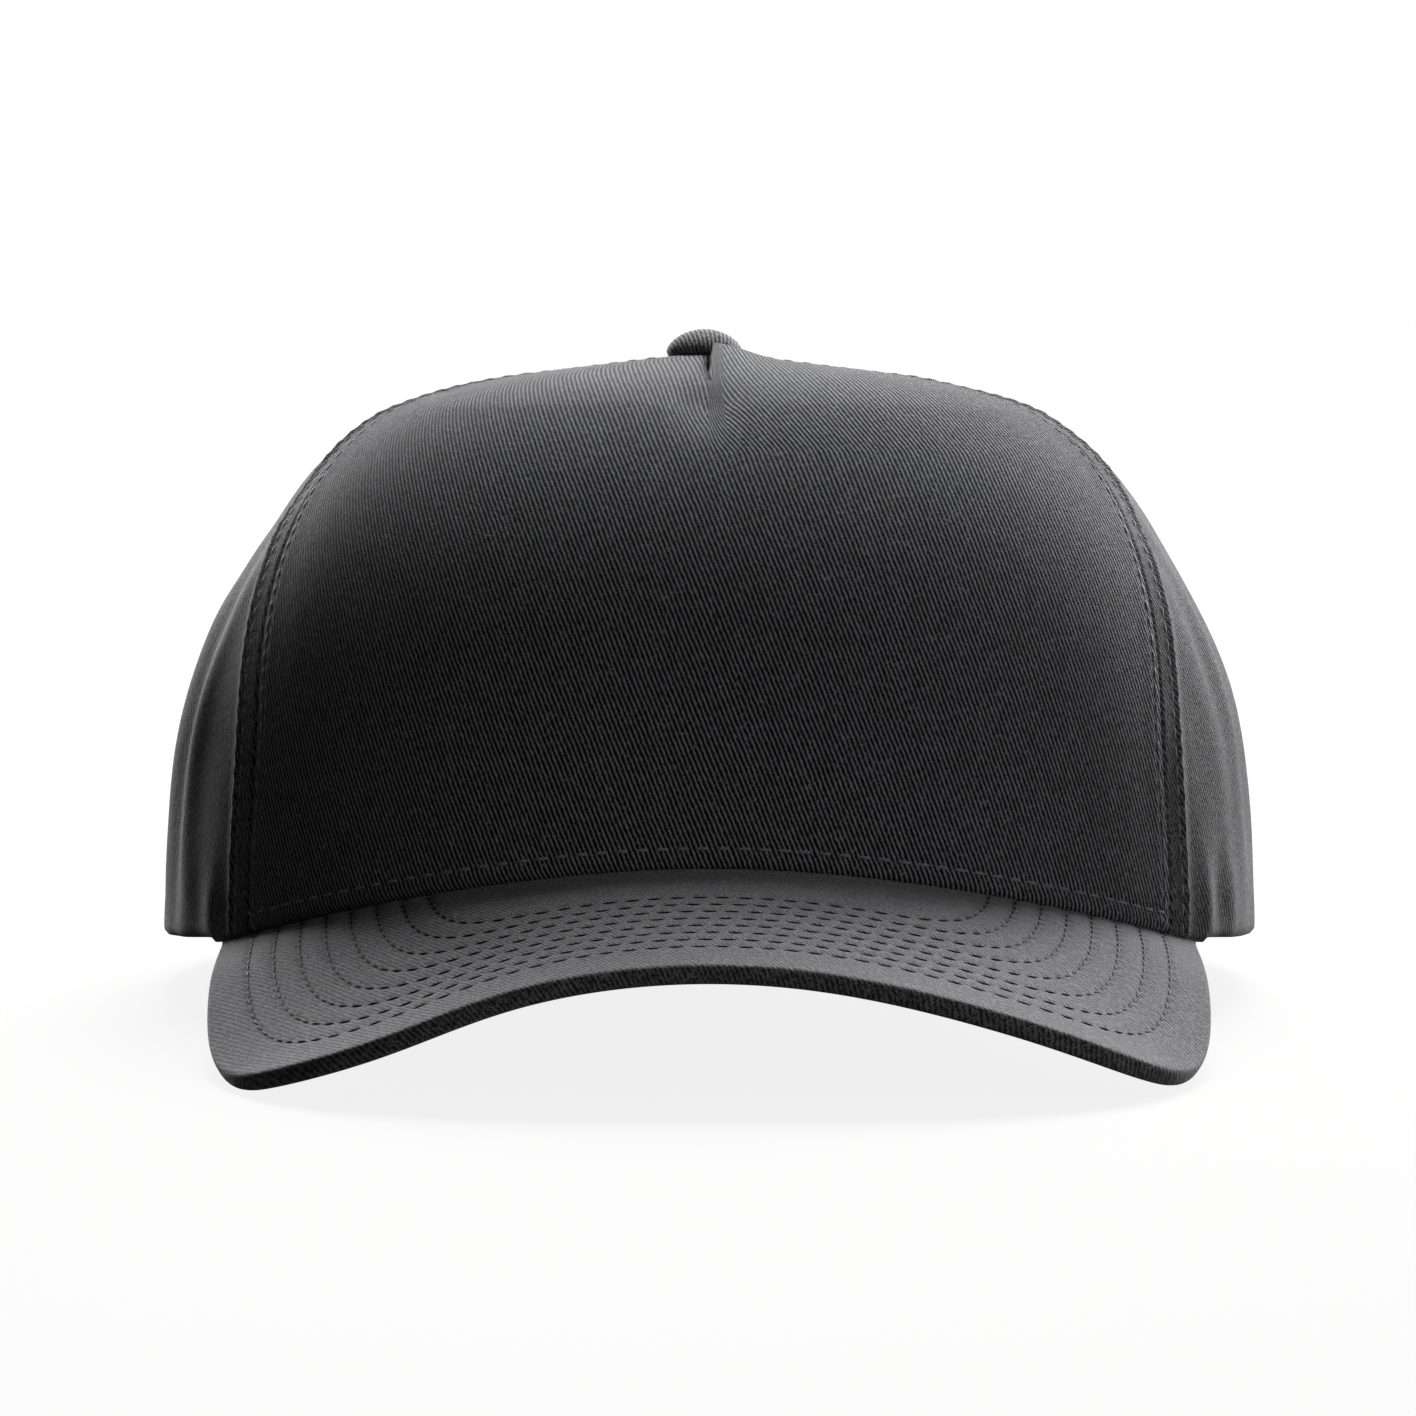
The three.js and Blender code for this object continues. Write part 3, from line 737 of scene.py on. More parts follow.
def visor_normal(x, y):
    """Upward direction of the visor's face from its slopes over a 1 mm step."""
    slope_x = visor_height(x + 0.5, y) - visor_height(x - 0.5, y)
    slope_y = visor_height(x, y + 0.5) - visor_height(x, y - 0.5)
    return unit(np.stack([-slope_x, -slope_y, np.ones_like(slope_x)], axis=-1))


def visor_curve(turn, half_width, side_start, reach, front_power, side_power):
    """Plan of the front edge or of a stitch row, a superellipse with a power for each direction:
    x = w |sin|^(2/p), reach = start + span cos^(2/q)."""
    x = half_width * signed_power(np.sin(turn), 2.0 / front_power)
    share = np.maximum(np.cos(turn), 0.0) ** (2.0 / side_power)
    return np.stack([x, -mix(side_start, reach, share)], axis=-1)


def row_level(x, y, k):
    """0 on stitch row k, negative inside it: |x/w|^p + |reach/r|^q - 1 with row k's own w and r."""
    across = np.abs(x / (row_half_width - row_width_step * k)) ** row_power
    reach = np.maximum(-y - row_side_start, 0.0)
    forward = (reach / (row_reach - row_reach_step * k - row_side_start)) ** row_side_straightness
    return across + forward - 1.0


def row_number(x, y):
    """Which stitch row a place on the visor lies on, as a fraction, found by halving."""
    low, high = np.full_like(x, -4.0), np.full_like(x, 12.0)
    for _ in range(22):
        middle = (low + high) / 2.0
        outside = row_level(x, y, middle) > 0
        high = np.where(outside, middle, high)
        low = np.where(outside, low, middle)
    return (low + high) / 2.0


def row_line(k):
    """Closely spaced turns and plan points of stitch row k: even turns, with even widths added."""
    even_widths = np.arcsin(signed_power(np.linspace(-1.0, 1.0, 1201), row_power / 2.0))
    turn = np.union1d(np.linspace(-np.pi / 2.0, np.pi / 2.0, 1201), even_widths)
    half_width = row_half_width - row_width_step * k
    reach = row_reach - row_reach_step * k
    return turn, visor_curve(turn, half_width, row_side_start, reach, row_power, row_side_straightness)


def channel(x, y):
    """Depth of the stitch channels: a bell across each row, deepest in the middle of each stitch."""
    number = row_number(x, y)
    depth = np.zeros_like(x)
    for k in range(visor_row_count):
        width = row_half_width - row_width_step * k
        span = row_reach - row_reach_step * k - row_side_start
        sine = signed_power(x / width, row_power / 2.0)
        cosine = (np.maximum(-y - row_side_start, 0.0) / span) ** (row_side_straightness / 2.0)
        turns, line = row_line(k)
        along = np.interp(np.arctan2(sine, cosine), turns, run(line, 0))
        spacing = mix(row_width_step, row_reach_step, cosine / np.maximum(np.hypot(sine, cosine), 1e-6))
        across = bell((number - k) * spacing, 0.0, channel_half_width)
        pull = 1.0 - channel_pull + channel_pull * np.cos(2.0 * np.pi * along / visor_pitch)
        depth += channel_depth * across * pull
    return depth


seam_azimuths = np.linspace(-visor_tip_azimuth, visor_tip_azimuth, 1200)
seam_foot = crown_point(seam_azimuths, 0.0)
seam_lift = lift_at(seam_azimuths, visor_height(seam_foot[:, 0], seam_foot[:, 1]))
visor_seam = crown_point(seam_azimuths, seam_lift)
visor_seam = visor_seam - visor_under_crown * crown_normal(seam_azimuths, seam_lift)
visor_seam = even_steps(visor_seam[:, :2], visor_columns)
edge_turn = np.linspace(-np.pi / 2.0, np.pi / 2.0, 4001)
visor_edge = visor_curve(
    edge_turn,
    visor_half_width,
    visor_side_start,
    visor_front_reach,
    visor_front_roundness,
    visor_side_straightness,
)
visor_edge = even_steps(visor_edge, visor_columns)
visor_length = np.linalg.norm(visor_edge - visor_seam, axis=-1)[:, None]
# Across one section: out along the top, round the edge, and back along the underside
edge_share = np.minimum(visor_edge_depth / visor_length, 0.5)
out = np.linspace(0.0, 1.0, visor_top_rows)[None, :] * (1.0 - edge_share)
round_turn = np.linspace(np.pi / 2.0, -np.pi / 2.0, visor_edge_rows + 2)[1:-1][None, :]
round_out = 1.0 - edge_share * (1.0 - np.cos(round_turn) ** edge_fullness)
section = np.concatenate([out, round_out, out[:, ::-1]], axis=1)
sink_top = np.zeros_like(out)
sink_round = (visor_thickness / 2.0) * (1.0 - signed_power(np.sin(round_turn), edge_fullness))
sink_round = np.broadcast_to(sink_round, round_out.shape)
sink = np.concatenate([sink_top, sink_round, sink_top + visor_thickness], axis=1)
visor_plan = mix(visor_seam[:, None, :], visor_edge[:, None, :], section[..., None])
visor_x, visor_y = visor_plan[..., 0], visor_plan[..., 1]
visor_up = visor_normal(visor_x, visor_y)
grooves = channel(visor_x, visor_y) * (1.0 - smoothstep(section, 1.0 - channel_end / visor_length, 1.0))
sink = sink + np.where(sink < visor_thickness / 2.0, grooves, -grooves)
visor_top = np.concatenate([visor_plan, visor_height(visor_x, visor_y)[..., None]], axis=-1)
visor_loops = visor_top - visor_up * sink[..., None]
# On the flat cloth: width with the arch laid out, and the run round the section from the seam
front_arch = visor_arch + visor_front_gain
flat_x = np.arcsinh(visor_x * front_arch) / front_arch
visor_weave = np.stack([flat_x, run(visor_loops, 1) - visor_plan[:, [0], 1]], axis=-1)
# Painted light: this copy of the twill is set to its own tones, with darker crests than the front's, for
# how light falls on the visor
visor_twill = cotton_twill(
    "charcoal_twill_on_board_painted_light", "#161617", "#555557", -22.0, 0.2, contrast=1.9, wale_share=0.16, mottle=0.2
)
visor_piece = loop_mesh("visor_twill", visor_loops, visor_weave)
dress(visor_piece, visor_twill, "cap_twill", "visor")

# Stitching
# Spun polyester thread, lockstitched: a short float of thread on the face between two holes. The
# crown's seams are topstitched on both sides, the front hem, opening and visor have rows of their own.
stitch_share = 0.74
thread_width = 0.5
thread_height = 0.34
thread_bow = 0.16
thread_sink = 0.1
stitch_step = 0.6
stitches_end_radius = 8.0
arch_row_end = 0.04
visor_stitch_share = 0.8
visor_thread_width = 0.42
visor_thread_height = 0.32
visor_thread_bow = 0.08
visor_stitch_lift = 0.22


def thread(name, colour, glow):
    """Twisted polyester thread: smoother than the cloth, so each stitch shows a small soft light."""
    material, tree = empty_material(name)
    place = add_node(tree, "TexCoord", output="Object")
    fibres = add_node(tree, "TexNoise", {"Vector": place, "Scale": 2600.0, "Detail": 2.0}, "Fac")
    tone = add_node(
        tree,
        "MapRange",
        {"Value": fibres, "From Min": 0.3, "From Max": 0.7, "To Min": 0.7, "To Max": 1.3},
        "Result",
    )
    coloured = add_node(
        tree, "VectorMath", {0: linear(colour)[:3], "Scale": tone}, "Vector", operation="SCALE"
    )
    sockets = {
        "Base Color": coloured,
        "Roughness": 0.7,
        "Specular IOR Level": 0.15,
        "Sheen Weight": glow,
        "Sheen Roughness": 0.4,
    }
    return with_shader(material, sockets)


def stitch_places(path, normals, pitch):
    """Middle, direction and outward normal of each stitch along a line of points."""
    lengths = run(path, 0)
    middles = np.arange(pitch / 2.0, lengths[-1] - pitch / 2.0, pitch)
    way = place_along(path, lengths, middles + stitch_step)
    way = way - place_along(path, lengths, middles - stitch_step)
    return place_along(path, lengths, middles), unit(way), unit(place_along(normals, lengths, middles))


def stitches(name, rows, length, width=thread_width, height=thread_height, bow=thread_bow):
    """One mesh of all the stitches in rows of places: each a six-sided bead of four rings and two
    points, bowed over its middle so that both ends dive into the cloth."""
    middles, ways, ups = (np.concatenate(parts) for parts in zip(*rows))
    sideways = np.cross(ups, ways)
    ring = np.arange(6) * np.pi / 3.0
    along = np.repeat([-0.42, -0.18, 0.18, 0.42], 6)
    fat = np.repeat([0.62, 1.0, 1.0, 0.62], 6)
    across = np.tile(np.cos(ring), 4) * fat
    above = np.tile(np.sin(ring), 4) * fat
    along = np.concatenate([[-0.5], along, [0.5]])
    across = np.concatenate([[0.0], across, [0.0]])
    above = np.concatenate([[0.0], above, [0.0]]) * height / 2.0
    above = above + bow * (1.0 - (2.0 * along) ** 2) - thread_sink
    points = middles[:, None] + ways[:, None] * (along * length)[:, None]
    points = points + sideways[:, None] * (across * width / 2.0)[:, None]
    points = points + ups[:, None] * above[:, None]
    first = 1 + np.arange(6)
    second = 1 + (np.arange(6) + 1) % 6
    bands = [np.stack([first + r, first + r + 6, second + r + 6, second + r], -1) for r in (0, 6, 12)]
    quads = np.concatenate(bands)
    start = np.stack([np.zeros(6, int), first, second], -1)
    end = np.stack([np.full(6, 25), second + 18, first + 18], -1)
    offsets = (np.arange(len(middles)) * 26)[:, None, None]
    faces = (offsets + quads).reshape(-1, 4).tolist()
    faces += (offsets + np.concatenate([start, end])).reshape(-1, 3).tolist()
    return fill_mesh(name, points.reshape(-1, 3), faces)


def line_beside_seam(face, inset):
    """The line on a panel's face at a distance from the seam at its first column, with normals."""
    distance, _ = seam_distance(face)
    before = np.clip((distance < inset).sum(axis=1) - 1, 0, face.shape[1] - 2)
    rows = np.arange(len(face))
    gap = distance[rows, before + 1] - distance[rows, before]
    share = np.clip((inset - distance[rows, before]) / gap, 0.0, 1.0)[:, None]
    normals = grid_normals(face)
    line = mix(face[rows, before], face[rows, before + 1], share)
    clear = np.hypot(line[:, 0], line[:, 1]) > stitches_end_radius
    return line[clear], mix(normals[rows, before], normals[rows, before + 1], share)[clear]


def outward(line, normals):
    """Normals turned to point away from the inside of the crown."""
    middle = np.array([0.0, 0.0, 30.0])
    side = np.sum((line - middle) * normals, axis=-1, keepdims=True)
    return normals * np.sign(side)


crown_rows = []
soft_faces = [*side_faces.values(), *back_faces.values()]
topstitched = [(front_face, front_stitch_inset)] + [(face, side_stitch_inset) for face in soft_faces]
for face, inset in topstitched:
    for seen_from_seam in (face, face[:, ::-1]):
        line, normals = line_beside_seam(seen_from_seam, inset)
        crown_rows.append(stitch_places(line, outward(line, normals), crown_pitch))
hem_line, hem_normals = line_beside_seam(front_face.swapaxes(0, 1), front_hem_stitch)
crown_rows.append(stitch_places(hem_line, outward(hem_line, hem_normals), crown_pitch))
arch_turn = np.linspace(arch_row_end, np.pi - arch_row_end, 800)
arch_x = (opening_half_width + arch_stitch_inset) * np.cos(arch_turn)
arch_z = (opening_height + arch_stitch_inset) * np.sin(arch_turn)
arch_azimuth = np.full_like(arch_x, 180.0)
for _ in range(6):
    arch_lift = lift_at(arch_azimuth, arch_z)
    share = np.cos(np.radians(arch_lift)) ** profile_powers(arch_azimuth)[0]
    arch_azimuth = 180.0 - np.degrees(np.arcsin(np.clip(arch_x / (crown_half_width * share), -1.0, 1.0)))
arch_line = crown_point(arch_azimuth, arch_lift)
crown_rows.append(stitch_places(arch_line, crown_normal(arch_azimuth, arch_lift), crown_pitch))
crown_thread = thread("charcoal_polyester_thread", "#646467", 0.15)
crown_stitches = stitches("crown_stitches", crown_rows, crown_pitch * stitch_share)
dress(crown_stitches, crown_thread, "cap_twill")

visor_rows = []
for k in range(visor_row_count):
    turns, line = row_line(k)
    shown = np.abs(line[:, 0] / crown_half_width) ** front_plan_power
    shown = shown + np.abs(line[:, 1] / crown_reach) ** front_plan_power > 1.0
    lengths = run(line, 0)
    first, last = lengths[shown][[0, -1]] / visor_pitch
    middles = np.arange(np.ceil(first), last) * visor_pitch
    spot = place_along(line, lengths, middles)
    ahead = place_along(line, lengths, middles + stitch_step)
    up = visor_normal(spot[:, 0], spot[:, 1])
    middle = np.column_stack([spot, visor_height(spot[:, 0], spot[:, 1])])
    way = unit(np.column_stack([ahead, visor_height(ahead[:, 0], ahead[:, 1])]) - middle)
    sunk = channel_depth - visor_stitch_lift
    visor_rows.append((middle - up * sunk, way, up))
    visor_rows.append((middle - up * (visor_thickness - sunk), way, -up))
# Painted shade: the visor's thread is set black, far darker than the crown's, to stand for the shade in
# the sunken stitch holes
visor_thread = thread("visor_thread_painted_shade", "#050505", 0.0)
visor_stitches = stitches(
    "visor_stitches",
    visor_rows,
    visor_pitch * visor_stitch_share,
    visor_thread_width,
    visor_thread_height,
    visor_thread_bow,
)
dress(visor_stitches, visor_thread, "cap_twill")

# Button
# A pressed-metal button covered with a disc of the same twill, which is gathered under its skirt.
# Its shank goes through the point where the five panels meet and is clenched on a washer inside.
button_radius = 6.35
button_height = 5.0
button_widest = 1.4
button_shift = -0.8
button_skirt = crown_height - 1.2
shank_radius = 1.6
washer_radius = 6.0
washer_thickness = 1.0
washer_rounding = 0.2
gather_count = 11.0
gather_height = 0.04
button_rows = 40
button_columns = 96


def button_profile(rows):
    """Radius and height down the button: a low dome like a lens, r = R sin and h = H cos^1.3, then a
    quarter round down to the skirt, then shank and washer."""
    turn = np.linspace(0.02, 0.9 * np.pi, rows)
    dome_r = button_radius * np.sin(turn) ** np.where(turn < np.pi / 2.0, 1.0, 0.2)
    over = (button_height - button_widest) * np.maximum(np.cos(turn), 0.0) ** 1.3
    under = button_widest * np.minimum(np.cos(turn), 0.0)
    dome_z = button_skirt + button_widest + over + under
    washer_top = crown_height - crown_wall - seam_play - top_sag_depth / 2.0
    flat_radius = washer_radius - washer_rounding
    shank_r = [shank_radius, shank_radius, flat_radius]
    shank_z = [crown_height + seam_play, washer_top, washer_top]
    washer_r = [washer_radius, washer_radius, flat_radius]
    washer_z = washer_top - washer_thickness * np.array([0.1, 0.9, 1.0])
    return np.concatenate([dome_r, shank_r, washer_r]), np.concatenate([dome_z, shank_z, washer_z])


profile_r, profile_z = button_profile(button_rows)
around = np.linspace(0.0, 2.0 * np.pi, button_columns, endpoint=False)[:, None]
gather_share = smoothstep(np.arange(len(profile_r)) / button_rows, 0.45, 0.9)
gather_share = gather_share * (np.arange(len(profile_r)) < button_rows)
gathers = gather_height * gather_share * np.sin(gather_count * around + 1.3 * np.sin(3.0 * around))
ring_r = profile_r[None, :] * (1.0 + 0.012 * np.sin(2.0 * around + 0.6)) + gathers
button_x = button_shift + ring_r * np.sin(around)
button_y = -ring_r * np.cos(around)
rings = np.stack([button_x, button_y, np.broadcast_to(profile_z, ring_r.shape)], axis=-1)
rows = rings.shape[1]
here = np.arange(button_columns) * rows
beside = np.roll(here, -1)
top_pole = np.full(button_columns, button_columns * rows)
low = rows - 1
faces = grid_faces(button_columns, rows, rows_close=True, turned=True).tolist()
faces += np.stack([top_pole, here, beside], -1).tolist()
faces += np.stack([top_pole + 1, beside + low, here + low], -1).tolist()
poles = [[button_shift, 0.0, button_skirt + button_height], [button_shift, 0.0, profile_z[-1]]]
button_points = np.concatenate([rings.reshape(-1, 3), poles])
button_run = np.concatenate([[0.0], np.cumsum(np.hypot(np.diff(profile_r), np.diff(profile_z)))])
button_flat = np.stack([button_run * np.sin(around), -button_run * np.cos(around)], -1).reshape(-1, 2)
button_weave = np.concatenate([button_flat, np.zeros((2, 2))])
button_piece = fill_mesh("top_button_twill", button_points, faces, button_weave)
# Painted light: this copy of the twill is set much lighter than the crown's, as for a top that faces the
# light, so it also reads lighter from behind and the side
button_twill = cotton_twill(
    "charcoal_twill_on_button_painted_light", "#202021", "#868688", 8.0, 0.1, wale_depth=0.16, contrast=1.4
)
dress(button_piece, button_twill, "cap_twill", "top_button")

# Sweatband
# A folded band of soft cotton cloth, 30 mm deep, that lies against the head inside the rim. It is
# sewn to the rim and to the visor's seam, and its two ends stop at the foot of the opening.
band_height = 30.0
band_thickness = 1.0
band_end = 141.6
band_hem = 0.8
lining_play = 0.75
band_columns = 420
band_rows = 26
band_cushion = 0.5
band_stitch = 2.0
band_full = 9.0
band_stitch_dip = 0.15
canvas_bump = 0.0001


def inside_crown(azimuth, height, depth):
    """A point under the crown's face at a height, by a depth through the wall."""
    lift = lift_at(azimuth, height)
    return crown_point(azimuth, lift) - crown_normal(azimuth, lift) * np.asarray(depth)[..., None]


def band_walls(azimuths, low, high, rows, depth, thickness, cushion):
    """Outer and inner grids of a band inside the crown. Its two long edges are rounded over 1 mm,
    and cushion swells its inner face by the distance from them."""
    rounding = 1.0
    rise = np.linspace(0.0, 1.0, rows)[:, None]
    height = mix(low, high, rise)
    from_edge = np.minimum(height - low, high - height)
    thin = (thickness / 2.0) * np.clip(1.0 - from_edge / rounding, 0.0, 1.0) ** 2
    azimuth = np.broadcast_to(azimuths, height.shape)
    outer = inside_crown(azimuth, height, depth + thin)
    inner = inside_crown(azimuth, height, depth + thickness - thin + cushion(from_edge))
    return outer, inner


def fine_canvas(name, dark, light, thread_pitch, sheen):
    """Plain-woven cotton: two crossed sets of fine threads, with slow uneven wear."""
    material, tree = empty_material(name)
    place = add_node(tree, "UVMap", output="UV", uv_map="weave")
    waves = []
    for way in ((1.0, 0.0, 0.0), (0.0, 1.0, 0.0)):
        turns = add_node(
            tree,
            "VectorMath",
            {0: place, 1: tuple(2.0 * np.pi / thread_pitch * part for part in way)},
            "Value",
            operation="DOT_PRODUCT",
        )
        waves.append(add_node(tree, "Math", {0: turns}, "Value", operation="SINE"))
    crossed = add_node(tree, "Math", {0: waves[0], 1: waves[1]}, "Value", operation="MULTIPLY")
    grain = add_node(
        tree, "TexNoise", {"Vector": place, "Scale": 1.6, "Detail": 3.0}, "Fac", noise_dimensions="2D"
    )
    height = add_node(tree, "Math", {0: crossed, 1: 0.3, 2: grain}, "Value", operation="MULTIPLY_ADD")
    cloth = add_node(
        tree, "Mix", {"Factor": height, "A": linear(dark), "B": linear(light)}, "Result", data_type="RGBA"
    )
    bumped = add_node(
        tree, "Bump", {"Height": height, "Strength": 1.0, "Distance": canvas_bump}, "Normal"
    )
    sockets = {
        "Base Color": cloth,
        "Roughness": 0.9,
        "Specular IOR Level": 0.25,
        "Sheen Weight": sheen,
        "Sheen Roughness": 0.5,
        "Normal": bumped,
    }
    return with_shader(material, sockets)


def band_swell(from_edge):
    """The sweatband's soft cushion, and the dip along its stitching."""
    cushion = band_cushion * smoothstep(from_edge, band_stitch, band_full)
    return cushion - band_stitch_dip * bell(from_edge, band_stitch, 0.5)


band_azimuths = np.linspace(-band_end, band_end, band_columns)
band_foot = crown_point(band_azimuths, 0.0)
band_rim = np.maximum(rim_height(band_foot[:, 0], band_foot[:, 1]), 0.0)
band_outer, band_inner = band_walls(
    band_azimuths,
    band_rim + band_hem,
    band_rim + band_height,
    band_rows,
    crown_wall + lining_play,
    band_thickness,
    band_swell,
)
band_weave = panel_weave(band_outer)
band_cloth = fine_canvas("charcoal_cotton_sateen", "#161617", "#353537", 0.6, 0.2)
band_piece = cloth_wall("sweatband_cloth", band_outer, band_inner, band_weave)
dress(band_piece, band_cloth, "sweatband_cloth", "sweatband")

# Back strap
# A doubled strip of the same twill, 19 mm wide, edge-stitched along both sides. Its ends are sewn
# inside the back panels, and it crosses the opening below the arch to set the cap's size.
strap_bottom = 4.6
strap_height = 19.0
strap_thickness = 1.4
strap_end = 142.0
strap_stitch_inset = 2.2
strap_dip = 0.16
strap_inner_dip = 0.12
strap_dip_width = 0.5
strap_columns = 150
strap_row_count = 40
strap_azimuths = np.linspace(strap_end, 360.0 - strap_end, strap_columns)
strap_low = np.full_like(strap_azimuths, strap_bottom)
strap_outer, strap_inner = band_walls(
    strap_azimuths,
    strap_low,
    strap_low + strap_height,
    strap_row_count,
    crown_wall + lining_play,
    strap_thickness,
    lambda from_edge: -strap_inner_dip * bell(from_edge, strap_stitch_inset, strap_dip_width),
)
strap_out = grid_normals(strap_outer)
strap_rise = strap_outer[..., 2] - strap_bottom
strap_from_edge = np.minimum(strap_rise, strap_height - strap_rise)
strap_groove = strap_dip * bell(strap_from_edge, strap_stitch_inset, strap_dip_width)
strap_outer = strap_outer - strap_out * strap_groove[..., None]
strap_piece = cloth_wall("back_strap_twill", strap_outer, strap_inner, panel_weave(strap_outer))
dress(strap_piece, side_twill, "cap_twill", "back_strap")
strap_rows = []
for inset in (strap_stitch_inset, strap_height - strap_stitch_inset):
    index = np.argmin(np.abs(strap_outer[:, strap_columns // 2, 2] - strap_bottom - inset))
    line = strap_outer[index]
    strap_rows.append(stitch_places(line, outward(line, strap_out[index]), crown_pitch))
strap_stitches = stitches("strap_stitches", strap_rows, crown_pitch * stitch_share)
dress(strap_stitches, crown_thread, "cap_twill")

# Strap buckle
# One plain slide of die-cast metal with an antique finish: a flat loop 12 mm wide with rounded
# corners, which the strap runs through and which holds it by friction.
buckle_height = 23.0
buckle_width = 12.0
buckle_bar = 1.2
buckle_play = 1.6
buckle_azimuth = -172.0
loop_steps = 120
bar_steps = 28
loop_depth = strap_thickness + buckle_play + 2.0 * buckle_bar


def antique_brass(name):
    """Cast brass, darkened and rubbed: a satin metal that is brighter where it is handled."""
    material, tree = empty_material(name)
    place = add_node(tree, "TexCoord", output="Object")
    rubbed = add_node(tree, "TexNoise", {"Vector": place, "Scale": 260.0, "Detail": 4.0}, "Fac")
    colour = add_node(
        tree,
        "Mix",
        {"Factor": rubbed, "A": linear("#5f5233"), "B": linear("#a58f5c")},
        "Result",
        data_type="RGBA",
    )
    rough = add_node(
        tree,
        "MapRange",
        {"Value": rubbed, "From Min": 0.3, "From Max": 0.7, "To Min": 0.45, "To Max": 0.28},
        "Result",
    )
    return with_shader(material, {"Base Color": colour, "Metallic": 1.0, "Roughness": rough})


buckle_lift = lift_at(buckle_azimuth, strap_bottom + strap_height / 2.0)
buckle_out = crown_normal(buckle_azimuth, buckle_lift)
buckle_middle = crown_point(buckle_azimuth, buckle_lift)
buckle_middle = buckle_middle - buckle_out * (crown_wall + lining_play + strap_thickness / 2.0)
buckle_along = unit(np.cross([0.0, 0.0, 1.0], buckle_out))
buckle_up = np.cross(buckle_out, buckle_along)
loop_turn = np.linspace(0.0, 2.0 * np.pi, loop_steps, endpoint=False)[:, None]
# The middle line of the metal is a squarish loop: a superellipse of power 6 round the strap
loop_up = (buckle_height - buckle_bar) / 2.0 * signed_power(np.sin(loop_turn), 1.0 / 6.0)
loop_out = (loop_depth - buckle_bar) / 2.0 * signed_power(np.cos(loop_turn), 1.0 / 2.6)
loop_line = np.concatenate([loop_up, loop_out], axis=1)
loop_line = even_steps(np.vstack([loop_line, loop_line[:1]]), loop_steps + 1)[:-1]
loop_way = unit(np.roll(loop_line, -1, axis=0) - np.roll(loop_line, 1, axis=0))
loop_side = np.stack([-loop_way[:, 1], loop_way[:, 0]], axis=-1)
bar_turn = np.linspace(0.0, 2.0 * np.pi, bar_steps, endpoint=False)
bar_along = buckle_width / 2.0 * signed_power(np.cos(bar_turn), 0.22)
bar_thick = buckle_bar / 2.0 * signed_power(np.sin(bar_turn), 0.6)
loop_plane = loop_line[:, None] + loop_side[:, None] * bar_thick[None, :, None]
buckle_points = buckle_middle + loop_plane[..., :1] * buckle_up + loop_plane[..., 1:] * buckle_out
buckle_points = buckle_points + bar_along[None, :, None] * buckle_along
buckle_faces = grid_faces(loop_steps, bar_steps, rows_close=True, columns_close=True, turned=True)
buckle_piece = fill_mesh("strap_buckle_slide", buckle_points.reshape(-1, 3), buckle_faces.tolist())
dress(buckle_piece, antique_brass("antique_brass"), "buckle_metal", "strap_buckle")

# Floor, light and camera
# A round pale floor that curves up into its own wall far outside every view, soft light from above,
# behind and the right, as the photo's highlights show, and the photo's long lens looking level at
# the front of the cap.
floor_radius = 3.2
cove_radius = 1.6
cove_columns = 96
floor_tone = "#4a4a49"
glow_near = 0.86
glow_far = 0.99
glow_start = 0.25
glow_end = 1.8
world_strength = 0.085
profile_turn = np.linspace(0.0, np.pi / 2.0, 24)[1:]
flat_rings = np.concatenate([[0.0], np.linspace(0.4, floor_radius, 8)])
cove_r = np.concatenate([flat_rings, floor_radius + cove_radius * np.sin(profile_turn)])
cove_z = np.concatenate([0.0 * flat_rings, cove_radius * (1.0 - np.cos(profile_turn))])
cove_turn = np.linspace(0.0, 2.0 * np.pi, cove_columns + 1)[:, None]
cove = np.stack([cove_r * np.cos(cove_turn), cove_r * np.sin(cove_turn), cove_z + 0.0 * cove_turn], -1)
floor_mesh = bpy.data.meshes.new("floor")
floor_mesh.from_pydata(cove.reshape(-1, 3).tolist(), [], grid_faces(*cove.shape[:2]).tolist())
floor_mesh.shade_smooth()
floor = bpy.data.objects.new("floor", floor_mesh)
bpy.context.scene.collection.objects.link(floor)
floor_material = bpy.data.materials.new("pale_paper_floor")
floor_material.use_nodes = True
floor_shader = floor_material.node_tree.nodes["Principled BSDF"]
floor_shader.inputs["Base Color"].default_value = linear(floor_tone)
floor_shader.inputs["Roughness"].default_value = 1.0
floor_shader.inputs["Specular IOR Level"].default_value = 0.0
floor_shader.inputs["Emission Color"].default_value = linear("#ffffff")
floor_place = add_node(floor_material.node_tree, "TexCoord", output="Object")
floor_reach = add_node(
    floor_material.node_tree, "VectorMath", {0: floor_place}, "Value", operation="LENGTH"
)
floor_glow = add_node(
    floor_material.node_tree,
    "MapRange",
    {
        "Value": floor_reach,
        "From Min": glow_start,
        "From Max": glow_end,
        "To Min": glow_near,
        "To Max": glow_far,
    },
    "Result",
    interpolation_type="SMOOTHSTEP",
)
floor_material.node_tree.links.new(floor_glow, floor_shader.inputs["Emission Strength"])
floor_mesh.materials.append(floor_material)
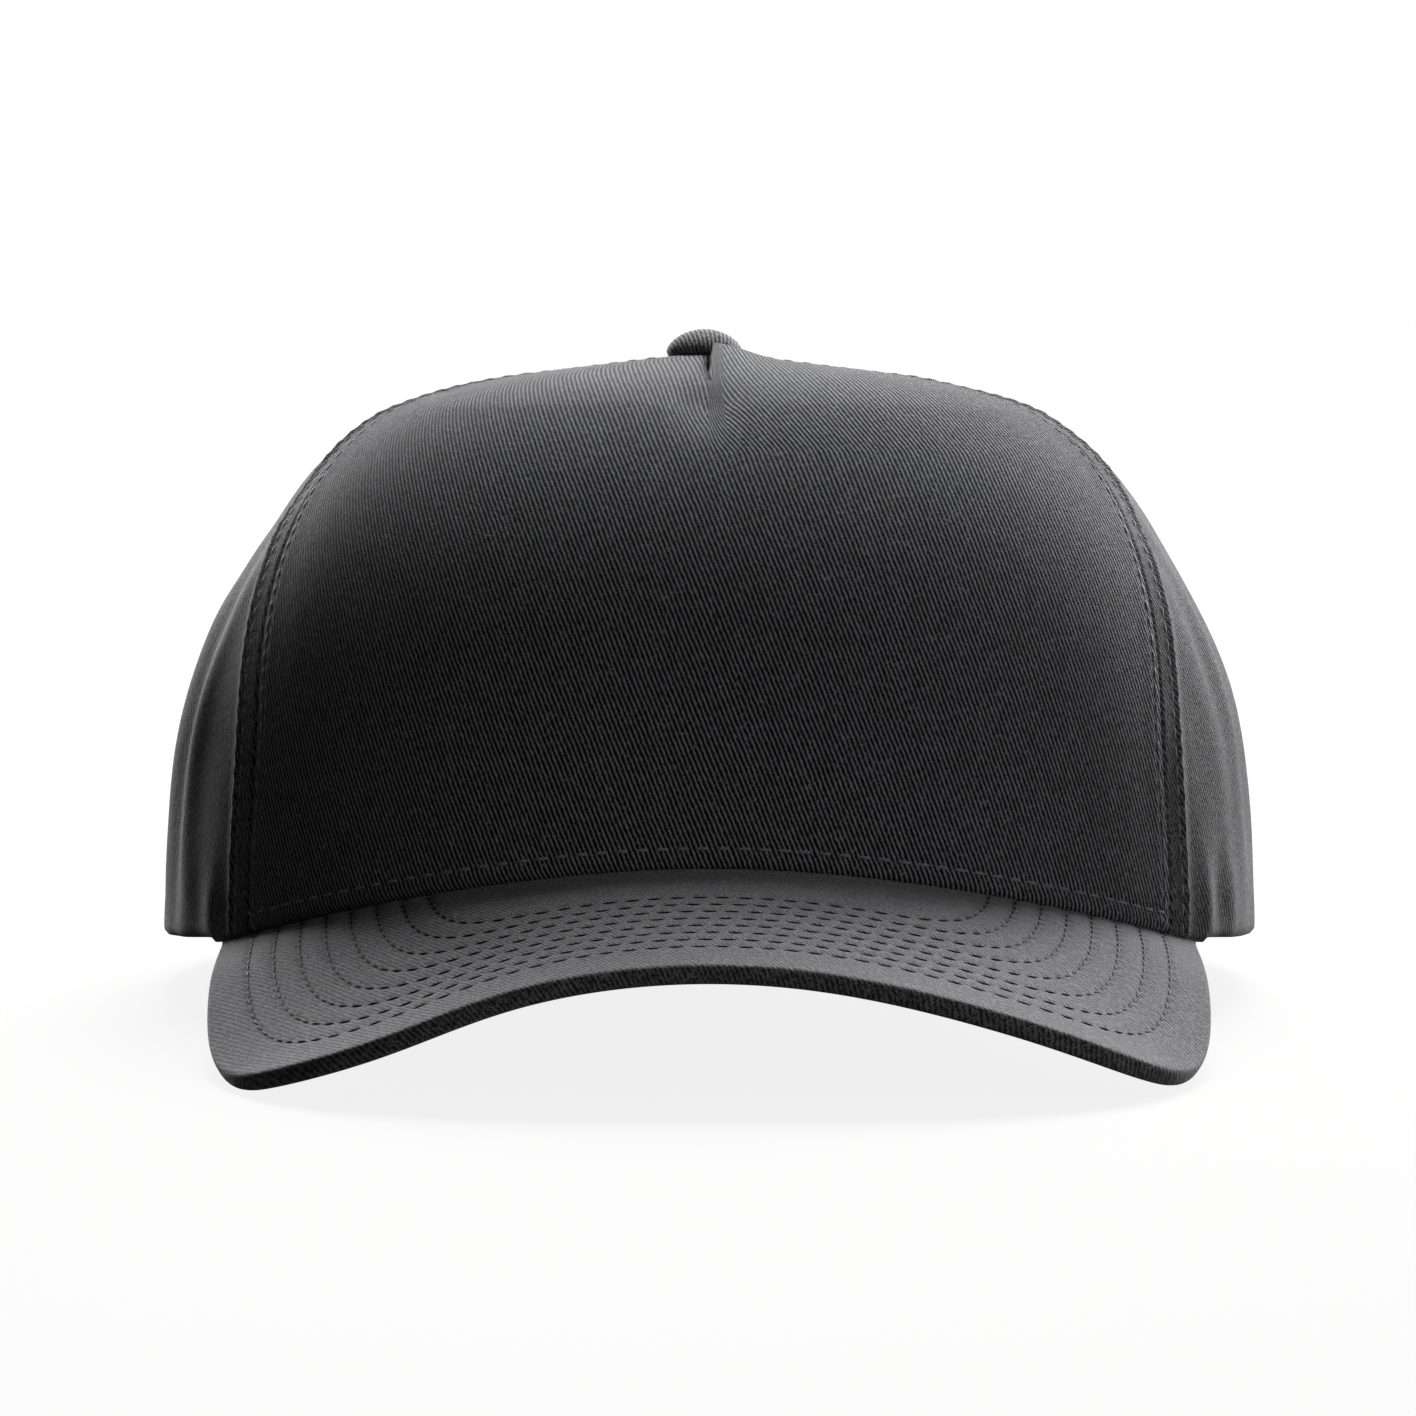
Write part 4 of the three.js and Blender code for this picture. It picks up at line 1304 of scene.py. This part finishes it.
# The dark front of the cap in the photo faces an unlit room, so the floor throws no light on it
floor.visible_diffuse = False
floor.visible_glossy = False


def softbox(name, place, target, size, watts):
    """A square softbox at a place in metres, turned to face its target."""
    light = bpy.data.lights.new(name, "AREA")
    light.shape = "SQUARE"
    light.size = size
    light.energy = watts
    lamp = bpy.data.objects.new(name, light)
    bpy.context.scene.collection.objects.link(lamp)
    away = unit(np.array(place, float) - np.array(target, float))
    side = unit(np.cross([0.0, 1e-3, 1.0], away))
    up = np.cross(away, side)
    lamp.matrix_world = Matrix([
        (side[0], up[0], away[0], place[0]),
        (side[1], up[1], away[1], place[1]),
        (side[2], up[2], away[2], place[2]),
        (0.0, 0.0, 0.0, 1.0),
    ])


# Each row: name, place and target in metres, width in metres, watts
softboxes = (
    ("overhead_softbox", (0.14, 0.90, 1.09), (0.0, -0.02, 0.05), 0.9, 54.0),
    ("right_rear_softbox", (0.9, 1.2, 0.28), (0.0, 0.0, 0.06), 0.6, 35.0),
    ("left_rear_softbox", (-0.62, 1.3, 0.28), (0.0, 0.0, 0.06), 0.5, 25.0),
    ("right_fill", (1.3, -0.95, 0.22), (0.0, 0.0, 0.05), 0.8, 11.0),
)
for row in softboxes:
    softbox(*row)

world = bpy.data.worlds.new("studio")
world.use_nodes = True
sky = world.node_tree.nodes["Background"]
sky.inputs["Color"].default_value = linear("#ffffff")
sky.inputs["Strength"].default_value = world_strength
bpy.context.scene.world = world
bpy.context.scene.view_settings.view_transform = "Standard"

# The photo shows 237.3 mm across at the cap's middle, seen level from 1450 mm before it
camera_distance = 1450.0
camera_height = 38.9
camera_side = -0.17
frame_width = 237.3
sensor_width = 36.0
camera_data = bpy.data.cameras.new("camera")
camera_data.sensor_width = sensor_width
camera_data.lens = sensor_width * camera_distance / frame_width
camera = bpy.data.objects.new("camera", camera_data)
bpy.context.scene.collection.objects.link(camera)
camera.location = tip_over(np.array([camera_side, -camera_distance, camera_height])).tolist()
camera.rotation_euler = (np.radians(90.0 - resting_tilt), 0.0, 0.0)
bpy.context.scene.camera = camera
